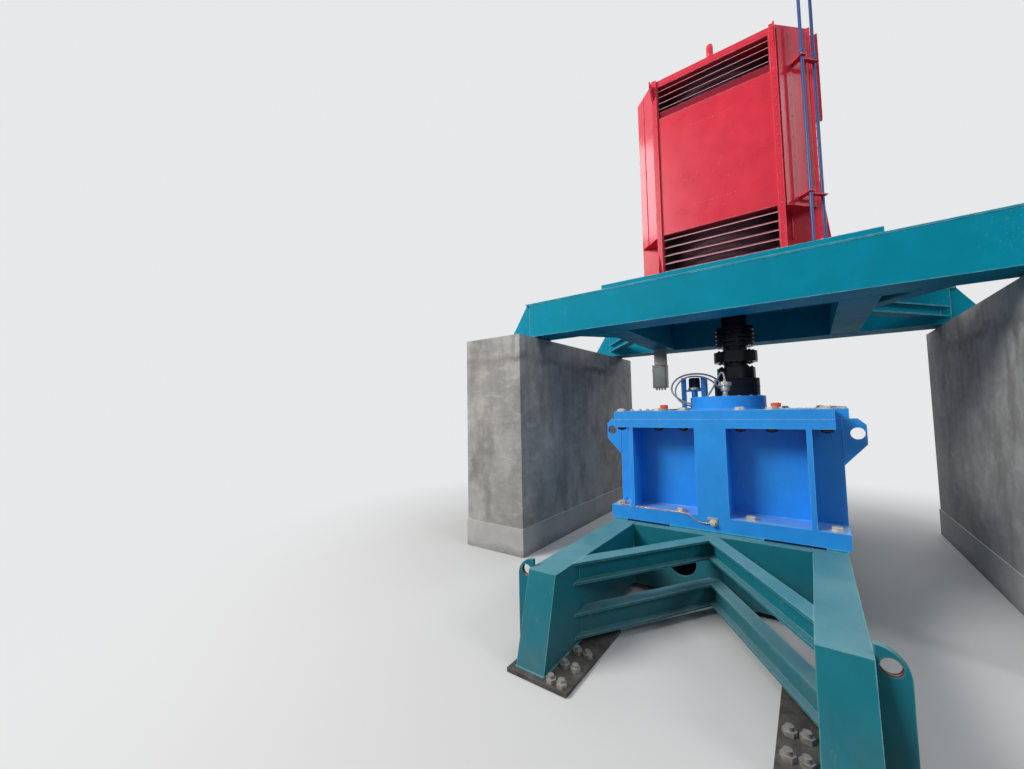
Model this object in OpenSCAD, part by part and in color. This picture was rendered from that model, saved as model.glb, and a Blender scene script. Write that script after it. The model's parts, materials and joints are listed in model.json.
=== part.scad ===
/* [Bay] */
// Clear width of the bay between the two wall piers
bay_w = 3800; // [3700:20:4000]
// Thickness of a pier along the row
pier_w = 800; // [600:20:1200]
// Distance from the turbine axis to the piers' front faces
pier_front = 1040; // [900:20:1600]
// Distance from the turbine axis to the piers' back faces
pier_back = 2440; // [2300:20:3000]
// Height of a pier
pier_h = 2455; // [2400:5:2800]
// Height of the plastered skirting band
skirting_h = 300; // [150:10:500]
// How far the skirting band stands out from the wall
skirting_t = 10; // [5:1:30]
// Thickness of the bearing plates on the pier tops
bearing_t = 18; // [10:1:40]

/* [Lower bracket] */
// Height of the lower bracket's top face above the floor
bracket_h = 560; // [500:5:700]
// Distance between the girders' centre planes
girder_gap = 1500; // [1400:10:1600]
// Width of a box girder
girder_w = 200; // [150:5:260]
// Distance from the turbine axis to the girders' knees
knee_y = 2460; // [2380:10:2560]
// How far the sloped end plate runs out from knee to toe
toe_run = 160; // [80:10:240]
// Length of the foot that stands on a sole plate
foot_l = 720; // [500:10:900]
// Clearance under the girder between its feet
girder_lift = 55; // [40:1:120]
// Plate thickness of the bracket's webs
web_t = 16; // [10:1:24]
// Plate thickness of the bracket's flanges
flange_t = 16; // [10:1:24]
// Thickness of the sole plates
sole_t = 25; // [15:1:40]
// How far a sole plate reaches past the girder towards the pit
sole_reach = 170; // [120:5:240]
// Radius of the anchor bolts
anchor_r = 18; // [12:1:24]
// Distance from the turbine axis to the cross beams' webs
cross_y = 1080; // [1040:5:1200]
// Height of the cross beams' underside above the floor
cross_lift = 50; // [40:1:120]
// Width of a cross beam's flanges
cross_flange_w = 160; // [140:5:180]
// Radius of the lightening holes in the cross webs
hole_r = 110; // [60:5:140]
// Distance of the lightening holes from the middle
hole_x = 240; // [200:5:320]
// Distance from the turbine axis to where the braces meet, at mid flange
brace_apex_y = 1120; // [1100:5:1300]
// Distance from the turbine axis to the braces' ends, at mid flange
brace_end_y = 2130; // [1900:10:2200]
// Width of a brace flange, square to the brace
brace_w = 105; // [80:5:150]
// Depth of the upper brace beam
brace_upper_h = 145; // [100:5:180]
// Height of the lower brace beam's underside
brace_lower_z = 62; // [55:1:100]
// Depth of the lower brace beam
brace_lower_h = 165; // [120:5:200]
// Reach of a lifting lug past the girder's side
lug_reach = 115; // [100:5:140]
// Top of a lifting lug above the floor
lug_top = 605; // [570:5:640]
// Radius of the hole in a lifting lug
lug_hole_r = 38; // [20:1:48]

/* [Gearbox] */
// Height of the seat pads between bracket and gearbox
pad_h = 18; // [8:1:40]
// Distance between the turbine shaft and the generator shaft
axis_offset = 700; // [600:10:800]
// Half width of the gearbox case
case_half_w = 875; // [860:5:940]
// Distance from the turbine axis to the case's front wall
case_front = 730; // [650:10:800]
// Distance from the turbine axis to the case's back wall
case_back = 1130; // [1050:10:1250]
// How far the flanges stand out in front of the walls
flange_reach = 280; // [200:5:320]
// Thickness of the base flange
base_flange_t = 114; // [80:2:140]
// Height of the case from the base to its split line
case_h = 915; // [820:5:1000]
// Thickness of the case's split flange
split_flange_t = 73; // [50:1:90]
// Thickness of the cover plate
cover_t = 76; // [50:1:100]
// How far the split flange stands out at the sides
side_reach = 45; // [20:5:80]
// Half width of the flanges where they stand out in front
nose_half_w = 826; // [780:2:860]
// Width of the middle rib of the case
mid_rib_w = 240; // [180:5:320]
// Distance of the thin ribs from the middle
rib_x = 670; // [560:5:740]
// Thickness of the thin ribs
rib_t = 35; // [20:1:50]
// Height of the case's lifting lugs
case_lug_h = 355; // [300:5:400]
// Rise of a case lug's sloping underside
case_lug_rise = 163; // [100:1:200]
// Cut of a case lug's upper corner
case_lug_cut = 48; // [20:1:60]
// Thickness of the case's lifting lugs
case_lug_t = 40; // [30:1:50]
// Reach of the lifting lugs past the case's sides
case_lug_reach = 142; // [110:2:180]
// Radius of the lifting lugs' holes
case_lug_hole_r = 45; // [30:1:55]
// Radius of the turbine shaft's bearing cap
slow_cap_r = 340; // [280:5:400]
// Height of the turbine shaft's bearing cap
slow_cap_h = 131; // [80:1:180]
// Radius of the output bearing housing
fast_house_r = 235; // [210:5:280]
// Height of the output bearing housing above the cover
fast_house_h = 350; // [300:2:380]
// Radius of a breather cap
breather_r = 38; // [25:1:50]
// Height of a breather cap
breather_h = 55; // [35:1:80]
// Length of the oil pump's foot
pump_l = 275; // [220:5:320]
// Width of the oil pump's foot
pump_w = 120; // [90:5:160]
// Height of the oil pump
pump_h = 381; // [300:1:420]

/* [Shaft] */
// Radius of the shaft in the gearbox's output bearing
shaft_r = 95; // [70:1:110]
// Radius of the generator's shaft above the coupling
upper_shaft_r = 134; // [110:1:150]
// Radius of the coupling's lower discs
lower_disc_r = 200; // [180:1:220]
// Radius of the coupling's middle disc
mid_disc_r = 227; // [205:1:250]
// Radius of the coupling's flexible discs
flex_disc_r = 200; // [180:1:220]
// Radius of the coupling's neck
neck_r = 125; // [100:1:150]
// How far the shaft reaches down into the output bearing housing
stub_l = 200; // [140:10:300]
// Thickness of the lower coupling disc
lower_disc_t = 122; // [90:2:150]
// Height of the neck between the lower and the middle disc
neck_h = 68; // [40:2:100]
// Thickness of the middle disc
mid_disc_t = 122; // [90:2:150]
// Height of the neck under the flexible discs
upper_neck_h = 63; // [40:1:80]
// Thickness of one flexible disc
flex_disc_t = 34; // [20:1:44]
// Gap between two flexible discs
flex_gap = 14; // [6:1:20]
// Number of flexible discs
flex_count = 5; // [3:1:6]
// Running clearance around the shaft in its bearings
run_gap = 0.1; // [0.05:0.01:0.1]

/* [Upper bracket] */
// How far a main beam's foot reaches over a pier
beam_seat = 400; // [320:10:460]
// How far each end of a main beam leans in towards its top
beam_rake = 260; // [120:10:320]
// How far the top flange reaches past the box of a main beam
nose_l = 50; // [30:5:90]
// Thickness of the leaning fins at a main beam's ends
fin_t = 16; // [10:1:24]
// How far the fins are set in from a main beam's faces
fin_inset = 30; // [15:1:60]
// Depth of a main beam
beam_h = 404; // [340:2:480]
// Width of a main beam
beam_w = 370; // [300:10:420]
// Distance from the generator axis to a main beam's outer face
beam_out = 1390; // [1370:5:1440]
// Thickness of the beams' flanges
top_flange_t = 16; // [10:1:24]
// How far the top flange stands out past the beam
top_flange_lip = 5; // [3:1:12]
// Distance from the generator axis to a side beam's inner face
side_in = 930; // [920:10:1000]
// Width of a side beam
side_w = 270; // [200:10:320]
// Width of an end brace's flanges
end_brace_w = 130; // [90:10:160]
// Depth of an end brace
end_brace_h = 120; // [90:10:200]
// Height of an end brace's underside above the beams' underside
end_brace_lift = 75; // [20:1:120]
// Plate thickness of the end braces
end_brace_t = 14; // [8:1:24]
// Thickness of the seat frame under the generator
seat_t = 48; // [30:2:70]
// How far the seat frame reaches past the generator at the sides
seat_margin = 220; // [180:10:280]
// How much further it reaches on the right, to the side beam's outer face
seat_right_more = 140; // [0:10:140]
// How far the seat frame is set back from the main beams' outer faces
seat_set_back = 12; // [5:1:40]
// Radius of the hole through the seat frame
seat_hole_r = 560; // [500:10:620]
// Height of the control box under the left side beam
control_box_h = 330; // [250:10:400]
// Width of the control box
control_box_w = 200; // [140:10:240]
// Depth of the control box
control_box_d = 90; // [60:5:140]
// Gap between the side beam and the control box
control_box_drop = 258; // [180:2:320]

/* [Generator] */
// Distance from the generator axis to its flat faces
gen_half = 840; // [800:5:880]
// Cut of the corner faces, along a flat face
gen_cut = 245; // [225:5:290]
// Height of the generator's casing
gen_h = 2405; // [2200:5:2600]
// Thickness of the casing's plates
skin_t = 12; // [6:1:20]
// Thickness of the base plate
gen_base_t = 60; // [40:2:100]
// Thickness of the top plate
gen_top_t = 30; // [20:1:50]
// Distance from a louvre opening to the side edge of its face
louvre_edge = 55; // [55:1:120]
// Height of the lower louvre's sill above the casing's foot
low_louvre_z = 135; // [100:5:200]
// Height of the lower louvre's opening
low_louvre_h = 465; // [380:5:520]
// Number of blades in the lower louvre
low_blades = 5; // [4:1:7]
// Height of the upper louvre's sill above the casing's foot
top_louvre_z = 1945; // [1850:5:1980]
// Height of the upper louvre's opening
top_louvre_h = 390; // [320:5:400]
// Number of blades in the upper louvre
top_blades = 4; // [3:1:5]
// Height of the leaning sill plate in an upper louvre
sill_h = 87; // [60:1:120]
// Depth of the leaning sill plate
sill_d = 60; // [40:1:64]
// Thickness of a louvre blade
blade_t = 4; // [3:1:8]
// Depth of a louvre blade
blade_w = 70; // [50:1:90]
// Tilt of the louvre blades
blade_tilt = 30; // [20:1:45]
// Width of the bolted flange strips beside a panel
strip_w = 50; // [30:1:54]
// How far the flange strips stand out
strip_d = 30; // [15:1:45]
// How far they stand out on the left face
left_strip_d = 6; // [4:1:15]
// Bottom of the corner covers above the casing's foot
cover_z = 578; // [520:2:700]
// Height of the corner covers
corner_cover_h = 1790; // [1500:10:1795]
// Thickness of a corner cover's first plate
corner_cover_d = 12; // [9:1:20]
// Thickness of a corner cover's second plate
corner_step_d = 6; // [3:1:8]
// Distance from a corner cover's side to the edge of its corner face
corner_cover_edge = 9; // [6:1:20]
// Share of a corner cover that its first plate takes
corner_seam = 0.42; // [0.3:0.01:0.6]
// Reach of the foot gussets
gusset_reach = 85; // [60:5:110]
// Height of the tall foot gussets on the right face
gusset_h = 828; // [600:2:900]
// Height of the gussets at the front and the back
short_gusset_h = 370; // [250:5:600]
// Thickness of the foot gussets
gusset_t = 16; // [10:1:24]
// Distance from the casing's outer faces to the stator core
core_gap = 140; // [110:5:200]
// Reach of the lifting ears in front of the flange strips
lift_reach = 100; // [70:5:130]
// Height of the lifting ears
lift_h = 173; // [140:1:220]
// Height of the casing's top above the lifting ears
lift_drop = 65; // [30:1:90]
// Thickness of the lifting ears
lift_t = 14; // [10:1:20]
// Radius of the holes in the lifting ears
lift_hole_r = 20; // [15:1:24]
// Width of the cable duct on the right face
duct_w = 60; // [40:2:80]
// Depth of the cable duct
duct_d = 55; // [40:1:70]
// Height of the cable duct
duct_h = 860; // [600:10:900]
// Bottom of the cable duct above the casing's foot
duct_z = 1445; // [1300:5:1480]
// Radius of the raised top cover
crown_r = 420; // [350:5:500]
// Height of the raised top cover
crown_h = 60; // [30:5:100]
// Width of the terminal box
term_w = 840; // [700:10:900]
// Depth of the terminal box
term_d = 600; // [500:10:740]
// Height of the terminal box
term_h = 1490; // [1300:10:1600]
// Height of the terminal box's underside above the casing's foot
term_z = 845; // [700:5:900]
// Gap between the casing and the terminal box
term_gap = 180; // [120:5:240]
// Width of the duct between the casing and the terminal box
term_duct_w = 300; // [200:10:360]
// Height of that duct
term_duct_h = 700; // [500:10:900]
// Height of its underside above the terminal box's underside
term_duct_z = 300; // [200:10:500]

/* [Oil pipes] */
// Outer radius of the oil pipes
pipe_r = 14; // [12:1:20]
// Height of the pipes' open ends above the generator
pipe_rise = 420; // [380:10:600]
// Radius of the flange at a pipe's upper end
pipe_flange_r = 34; // [28:1:40]
// Distance of the first pipe from the corner face's middle, along that face
pipe_1_along = -6; // [-20:1:20]
// Distance from the corner face to the first pipe
pipe_1_out = 111; // [90:1:130]
// Distance of the second pipe from the corner face's middle, along that face
pipe_2_along = 173; // [165:1:185]
// Distance from the corner face to the second pipe
pipe_2_out = 64; // [60:1:72]
// Height of the lower pipe clamp above the casing's foot
clamp_z = 655; // [600:5:900]
// Height of the upper pipe clamp above the lower one
clamp_rise = 1335; // [1000:5:1500]
// Thickness of a pipe clamp
clamp_t = 12; // [8:1:20]
// Radius of the fitting on the generator's top
oil_head_r = 60; // [50:2:90]
// Height of the fitting on the generator's top
oil_head_h = 120; // [80:5:200]

/* [Hidden] */
$fn = 64;

red = [0.78, 0.10, 0.14];
teal = [0.03, 0.42, 0.50];
blue = [0.08, 0.38, 0.78];
dark = [0.08, 0.08, 0.10];
grey = [0.55, 0.54, 0.52];
steel = [0.45, 0.45, 0.45];
orange = [0.95, 0.32, 0.08];

// Heights that follow from the stack of pieces
girder_x = girder_gap / 2;
girder_in = girder_x - girder_w / 2;
girder_out = girder_x + girder_w / 2;
toe_y = knee_y + toe_run;
case_z = bracket_h + pad_h;
split_z = case_z + case_h;
cover_top = split_z + cover_t;
case_mid_y = (case_back - case_front) / 2;
base_front = case_front + flange_reach;
base_back = case_back + flange_reach;
fast_top = cover_top + fast_house_h;
beam_z = pier_h + bearing_t;
beam_top = beam_z + beam_h;
beam_half = bay_w / 2 + beam_seat;
seat_top = beam_top + seat_t;
gen_z = seat_top;
gen_top = gen_z + gen_h;
panel_z = gen_z + gen_base_t;
panel_h = gen_h - gen_base_t - gen_top_t;
flat_half = gen_half - gen_cut;
louvre_half_w = flat_half - louvre_edge;
core_r = gen_half - core_gap;
seat_half_x = gen_half + seat_margin;
seat_half_y = beam_out - seat_set_back;
corner_half = gen_cut / sqrt(2);
miter = skin_t * tan(22.5);
corner_mid = gen_half - gen_cut / 2;
seat_gap = 5;
disc_z = fast_top + seat_gap;
neck_z = disc_z + lower_disc_t;
mid_disc_z = neck_z + neck_h;
upper_neck_z = mid_disc_z + mid_disc_t;
flex_z = upper_neck_z + upper_neck_h;
flex_h = flex_count * flex_disc_t + (flex_count - 1) * flex_gap;
upper_shaft_z = flex_z + flex_h;
guide_h = 90;
guide_r = 330;
guide_z = gen_z - guide_h;

// A profile in the Y-Z plane, extruded along X around the given place
module yz_prism(x, width, points) {
  translate([x, 0, 0]) rotate([90, 0, 90])
    linear_extrude(height = width, center = true) polygon(points);
}

// A profile in the X-Z plane, extruded along Y around the given place
module xz_prism(y, depth, points) {
  translate([0, y, 0]) rotate([90, 0, 0])
    linear_extrude(height = depth, center = true) polygon(points);
}

// A block given by its lowest and its highest corner
module block(low, high) {
  translate(low) cube(high - low);
}

// Children placed on the generator's axis
module on_axis(z) {
  translate([0, axis_offset, z]) children();
}

// A plain pier with its skirting band, on the right for side 1
module pier(side) {
  low_x = side > 0 ? bay_w / 2 : -bay_w / 2 - pier_w;
  band = [skirting_t, skirting_t, 0];
  low = [low_x, -pier_front, 0];
  color(grey) union() {
    block(low, [low_x + pier_w, pier_back, pier_h]);
    block(low - band, [low_x + pier_w, pier_back, skirting_h] + band);
  }
}

module bearing_plates() {
  inset = 20;
  color(steel) for (side = [-1, 1], end = [-1, 1]) {
    x_in = bay_w / 2 + inset;
    x_out = beam_half;
    y = end * (beam_out - beam_w / 2);
    translate([side * (x_in + x_out) / 2, axis_offset + y, pier_h + bearing_t / 2])
      cube([x_out - x_in, beam_w, bearing_t], center = true);
  }
}

module sole_plates() {
  margin = 40;
  color(dark) for (side = [-1, 1], end = [-1, 1]) {
    x_low = girder_in - sole_reach;
    x_high = girder_out + margin;
    y_low = toe_y - foot_l - margin;
    y_high = toe_y + margin;
    difference() {
      translate([side * (x_low + x_high) / 2, end * (y_low + y_high) / 2, sole_t / 2])
        cube([x_high - x_low, y_high - y_low, sole_t], center = true);
      for (x = anchor_xs, y = anchor_ys)
        translate([side * x, end * y, 0]) cylinder(r = anchor_r, h = sole_t * 2.2, center = true);
    }
  }
}

anchor_edge = 50;
anchor_xs = [girder_in - sole_reach + anchor_edge, girder_in - anchor_edge];
anchor_back_y = brace_end_y + brace_w + anchor_edge;
anchor_ys = [anchor_back_y, (anchor_back_y + toe_y) / 2, toe_y];

module anchor_bolts() {
  nut_r = anchor_r * 1.8;
  nut_h = anchor_r * 1.3;
  stud_h = nut_h + anchor_r;
  color(steel) for (side = [-1, 1], end = [-1, 1], x = anchor_xs, y = anchor_ys)
    translate([side * x, end * y, 0]) union() {
      cylinder(r = anchor_r, h = sole_t + stud_h);
      translate([0, 0, sole_t]) cylinder(r = nut_r, h = nut_h, $fn = 6);
    }
}

function mirrored(points) = [for (i = [len(points) - 1:-1:0]) [-points[i][0], points[i][1]]];

module lower_girder(side) {
  rise = girder_lift - sole_t;
  half = [
    [toe_y - foot_l - rise, girder_lift],
    [toe_y - foot_l, sole_t],
    [toe_y, sole_t],
    [knee_y, bracket_h]
  ];
  color(teal) yz_prism(side * girder_x, girder_w, concat(half, mirrored(half)));
}

// The round-topped lifting lugs on the girders' outer sides
module bracket_lugs() {
  lug_t = 30;
  lug_y = knee_y - 60;
  flat_top = lug_top - lug_reach;
  hole = [lug_reach * 0.45, flat_top + lug_reach * 0.32];
  color(teal) for (side = [0, 1], end = [-1, 1]) mirror([side, 0, 0])
    translate([girder_out, end * lug_y, 0]) rotate([90, 0, 0])
      linear_extrude(height = lug_t, center = true) difference() {
        union() {
          translate([0, sole_t]) square([lug_reach, flat_top - sole_t]);
          intersection() {
            translate([0, flat_top]) circle(r = lug_reach);
            translate([0, flat_top]) square([lug_reach, lug_reach]);
          }
        }
        translate(hole) circle(r = lug_hole_r);
      }
}

// A cross beam between the girders, at the front for end -1
module lower_cross(end) {
  top = bracket_h;
  half_flange = cross_flange_w / 2;
  y = end * cross_y;
  color(teal) union() {
    difference() {
      translate([0, y, (cross_lift + top) / 2])
        cube([2 * girder_in, web_t, top - cross_lift], center = true);
      for (side = [-1, 1])
        translate([side * hole_x, y, (cross_lift + top) / 2]) rotate([90, 0, 0])
          cylinder(r = hole_r, h = web_t * 2, center = true);
    }
    translate([0, end * (cross_y - half_flange + web_t / 2), top - flange_t / 2])
      cube([2 * girder_in, cross_flange_w, flange_t], center = true);
    translate([0, end * (cross_y - half_flange + web_t / 2), cross_lift + flange_t / 2])
      cube([2 * girder_in, cross_flange_w, flange_t], center = true);
  }
}

// The plan of a brace flange between the cross web and a girder
function brace_plan(side, end, half) = [
  [0, end * (cross_y + web_t / 2)],
  [0, end * (brace_apex_y + half)],
  [side * girder_in, end * (brace_end_y + half)],
  [side * girder_in, end * (brace_end_y - half)],
  [side * max(0, brace_x(cross_y + web_t / 2 + half)), end * (cross_y + web_t / 2)]
];

// Distance from the middle at which the brace's mid line reaches a given depth
function brace_x(y) = (y - brace_apex_y) / (brace_end_y - brace_apex_y) * girder_in;

module brace_beam(side, end, z, height) {
  slope = atan2(brace_end_y - brace_apex_y, girder_in);
  half_flange = brace_w / 2 / cos(slope);
  half_web = web_t / 2 / cos(slope);
  translate([0, 0, z]) linear_extrude(height = height) polygon(brace_plan(side, end, half_web));
  for (level = [z, z + height - flange_t])
    translate([0, 0, level]) linear_extrude(height = flange_t)
      polygon(brace_plan(side, end, half_flange));
}

module lower_brace(side, end) {
  color(teal) union() {
    brace_beam(side, end, brace_lower_z, brace_lower_h);
    brace_beam(side, end, bracket_h - brace_upper_h, brace_upper_h);
  }
}

// Machined pads between the bracket and the gearbox, with open slots between them
module seat_pads() {
  pad_l = 250;
  pad_w = girder_w * 0.6;
  mid_w = 700;
  flange_in = cross_y + web_t / 2 - cross_flange_w;
  color(teal) {
    for (side = [-1, 1], y = [-base_front + pad_l / 2, case_mid_y, base_back - pad_l / 2])
      translate([side * (girder_out - pad_w / 2), y, bracket_h + pad_h / 2])
        cube([pad_w, pad_l, pad_h], center = true);
    block([-mid_w / 2, -base_front, bracket_h], [mid_w / 2, -flange_in, bracket_h + pad_h]);
    block([-mid_w / 2, flange_in, bracket_h], [mid_w / 2, cross_y, bracket_h + pad_h]);
  }
}

// The outline of the case's flanges, seen from above
module flange_plan() {
  translate([-case_half_w - side_reach, -case_front])
    square([2 * (case_half_w + side_reach), case_front + case_back]);
  translate([-nose_half_w, -base_front]) square([2 * nose_half_w, base_front + base_back]);
}

module gearbox_case() {
  depth = base_front + base_back;
  color(blue) difference() {
    union() {
      translate([-case_half_w, -base_front, case_z]) cube([2 * case_half_w, depth, base_flange_t]);
      block([-case_half_w, -case_front, case_z], [case_half_w, case_back, split_z]);
      translate([0, 0, split_z - split_flange_t]) linear_extrude(height = split_flange_t)
        flange_plan();
      translate([-mid_rib_w / 2, -base_front, case_z]) cube([mid_rib_w, depth, case_h]);
      for (side = [-1, 1])
        translate([side * rib_x - rib_t / 2, -base_front, case_z]) cube([rib_t, depth, case_h]);
    }
    for (side = [-1, 1], y = lug_ys)
      translate([side * (case_half_w + side_reach), y, split_z])
        cube([2 * side_reach, case_lug_t, 2 * split_flange_t + 2], center = true);
  }
}

lug_ys = [-case_front + case_lug_t / 2, case_back - case_lug_t / 2];

// The lifting lugs in line with the case's front and back walls
module case_lugs() {
  reach = case_lug_reach;
  rim = 7;
  foot = case_h - case_lug_h;
  points = [
    [0, foot], [reach, foot + case_lug_rise], [reach, case_h - case_lug_cut],
    [reach - case_lug_cut, case_h], [0, case_h]
  ];
  color(blue) for (side = [0, 1], y = lug_ys) mirror([side, 0, 0])
    translate([case_half_w, y, case_z]) difference() {
      xz_prism(0, case_lug_t, points);
      translate([reach - case_lug_hole_r - rim, 0, case_h - 2.5 * case_lug_hole_r]) rotate([90, 0, 0])
        cylinder(r = case_lug_hole_r, h = case_lug_t * 2, center = true);
    }
}

module gearbox_cover() {
  color(blue) difference() {
    translate([0, 0, split_z]) linear_extrude(height = cover_t)
      flange_plan();
    on_axis(split_z - 1) cylinder(r = shaft_r + 5, h = cover_t + 2);
  }
}

module slow_bearing_cap() {
  lip = 20;
  color(blue) translate([0, 0, cover_top]) union() {
    cylinder(r = slow_cap_r, h = slow_cap_h);
    cylinder(r = slow_cap_r + lip, h = lip * 0.6);
  }
}

module fast_bearing_housing() {
  lip = 60;
  color(blue) on_axis(cover_top) difference() {
    union() {
      cylinder(r = fast_house_r, h = fast_house_h);
      cylinder(r = fast_house_r + lip, h = lip / 2);
    }
    translate([0, 0, -1]) cylinder(r = shaft_r + run_gap, h = fast_house_h + 2);
  }
}

// The level sensor from its stem to its nub, each step a radius and a height
sensor_steps = [[23, 60], [40, 55], [60, 38], [25, 12]];
sensor_x = -20;
breather_xs = [-487, 449];
breather_y = -560;

function height_below(step) = step == 0 ? 0 : sensor_steps[step - 1][1] + height_below(step - 1);

// The level sensor, the breather caps, the drain plug and the oil pump of the gearbox
module gearbox_fittings() {
  plug_r = 22;
  color("silver") translate([sensor_x, 0, cover_top + slow_cap_h])
    for (step = [0:len(sensor_steps) - 1])
      translate([0, 0, height_below(step)])
        cylinder(r = sensor_steps[step][0], h = sensor_steps[step][1]);
  color(orange) for (x = breather_xs)
    translate([x, breather_y, cover_top]) cylinder(r = breather_r, h = breather_h);
  color(steel) translate([0, -base_front, case_z + base_flange_t * 0.6])
    rotate([90, 0, 0]) cylinder(r = plug_r, h = plug_r * 1.8, $fn = 6);
  color(blue) oil_pump();
}

pump_x = -560;
pump_y = 440;

// A small pump and its motor between two uprights
module oil_pump() {
  post_w = pump_l * 0.2;
  foot_h = pump_h * 0.18;
  body_r = pump_w * 0.42;
  body_h = pump_h * 0.5;
  translate([pump_x, pump_y, cover_top]) union() {
    cube([pump_l, pump_w, foot_h]);
    for (x = [0, pump_l - post_w]) translate([x, 0, 0]) cube([post_w, pump_w, pump_h]);
    translate([pump_l / 2, pump_w / 2, foot_h / 2]) cylinder(r = body_r, h = body_h);
    translate([pump_l / 2, pump_w / 2, foot_h / 2]) cylinder(r = body_r * 0.6, h = pump_h * 0.7);
  }
}

module coupling_lower() {
  color(dark) on_axis(0) union() {
    translate([0, 0, fast_top - stub_l]) cylinder(r = shaft_r, h = disc_z - fast_top + stub_l);
    translate([0, 0, disc_z]) cylinder(r = lower_disc_r, h = lower_disc_t);
    translate([0, 0, neck_z]) cylinder(r = neck_r, h = neck_h);
    translate([0, 0, mid_disc_z]) cylinder(r = mid_disc_r, h = mid_disc_t);
    translate([0, 0, upper_neck_z]) cylinder(r = neck_r, h = upper_neck_h);
  }
}

module coupling_flexible() {
  pitch = flex_disc_t + flex_gap;
  color(dark) on_axis(flex_z) union() {
    cylinder(r = upper_shaft_r, h = flex_h);
    for (i = [0:flex_count - 1])
      translate([0, 0, i * pitch]) cylinder(r = flex_disc_r, h = flex_disc_t);
  }
}

module generator_shaft() {
  color(dark) on_axis(upper_shaft_z)
    cylinder(r = upper_shaft_r, h = gen_z - upper_shaft_z + gen_base_t / 2);
}

// A box beam whose flanges reach past its ends, with leaning fins between them
module upper_beam(end) {
  y = axis_offset + end * (beam_out - beam_w / 2);
  top_half = beam_half - beam_rake;
  box_half = top_half - nose_l;
  lip_w = beam_w + 2 * top_flange_lip;
  color(teal) union() {
    block([-box_half, y - beam_w / 2, beam_z], [box_half, y + beam_w / 2, beam_top]);
    block([-beam_half, y - beam_w / 2, beam_z], [beam_half, y + beam_w / 2, beam_z + top_flange_t]);
    block([-top_half, y - lip_w / 2, beam_top - top_flange_t], [top_half, y + lip_w / 2, beam_top]);
    for (side = [0, 1], face = [-1, 1]) mirror([side, 0, 0])
      xz_prism(y + face * (beam_w / 2 - fin_inset - fin_t / 2), fin_t, [
        [box_half, beam_z], [beam_half, beam_z], [top_half, beam_top], [box_half, beam_top]
      ]);
  }
}

// Distance from the generator axis to a main beam's inner face
beam_in = beam_out - beam_w;

module upper_side(side) {
  reach = beam_in;
  color(teal) difference() {
    translate([side * (side_in + side_w / 2), axis_offset, beam_z + beam_h / 2])
      cube([side_w, 2 * reach, beam_h], center = true);
    for (end = [-1, 1])
      translate([side * (side_in + side_w / 2), axis_offset + end * reach, lip_low + top_flange_t / 2])
        cube([side_w + 2, 2 * top_flange_lip, top_flange_t + 0.01], center = true);
  }
}

lip_low = beam_top - top_flange_t;

// The plan of an end brace from a side beam's middle to a main beam's end, for a given half width
function end_brace_plan(side, end, half) = let(
  root = [side_in + side_w, end_brace_w],
  tip = [bay_w / 2, beam_in],
  across_x = half * norm(tip - root) / (tip - root)[1],
  across_y = half * norm(tip - root) / (tip - root)[0]
) [
  [side * root[0], end * (root[1] - across_y)], [side * root[0], end * (root[1] + across_y)],
  [side * (tip[0] - across_x), end * tip[1]], [side * (tip[0] + across_x), end * tip[1]]
];

module end_brace(side, end) {
  color(teal) on_axis(beam_z + end_brace_lift) union() {
    linear_extrude(height = end_brace_h)
      polygon(end_brace_plan(side, end, end_brace_t / 2));
    for (level = [0, end_brace_h - end_brace_t])
      translate([0, 0, level]) linear_extrude(height = end_brace_t)
        polygon(end_brace_plan(side, end, end_brace_w / 2));
  }
}

module seat_frame() {
  color(teal) on_axis(beam_top) difference() {
    block([-seat_half_x, -seat_half_y, 0], [seat_half_x + seat_right_more, seat_half_y, seat_t]);
    translate([0, 0, -1]) cylinder(r = seat_hole_r, h = seat_t + 2);
  }
}

// A control box on a hanger plate under the left side beam
module junction_box() {
  hanger_t = 20;
  hanger_w = control_box_w * 0.9;
  x = -side_in - side_w / 2;
  y = axis_offset + beam_in * 0.6;
  top = beam_z - control_box_drop;
  color("silver") union() {
    block(
      [x - control_box_w / 2, y, top - control_box_h],
      [x + control_box_w / 2, y + control_box_d, top]
    );
    block(
      [x - hanger_w / 2, y + control_box_d - hanger_t, top - control_box_h / 2],
      [x + hanger_w / 2, y + control_box_d, beam_z]
    );
  }
}

// The plan of the casing, or of anything a given distance inside it
module gen_plan(inset) {
  flat = gen_half - inset;
  side = flat_half - inset * tan(22.5);
  polygon([
    [-side, -flat], [side, -flat], [flat, -side], [flat, side],
    [side, flat], [-side, flat], [-flat, side], [-flat, -side]
  ]);
}

module generator_base() {
  color(red) on_axis(gen_z) difference() {
    linear_extrude(height = gen_base_t) gen_plan(0);
    translate([0, 0, -1]) cylinder(r = upper_shaft_r + run_gap, h = gen_base_t / 2 + seat_gap + 1);
  }
}

module lower_guide_bearing() {
  color(red) on_axis(guide_z) difference() {
    cylinder(r = guide_r, h = guide_h);
    translate([0, 0, -1]) cylinder(r = upper_shaft_r + run_gap, h = guide_h + 2);
  }
}

module stator_core() {
  color(dark) on_axis(panel_z) cylinder(r = core_r, h = panel_h);
}

// The faces are numbered by quarter turns from the front
module face(turn) {
  on_axis(panel_z) rotate([0, 0, 90 * turn]) children();
}

module opening(z, height) {
  translate([-louvre_half_w, -gen_half - skin_t, z]) cube([2 * louvre_half_w, 3 * skin_t, height]);
}

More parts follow.
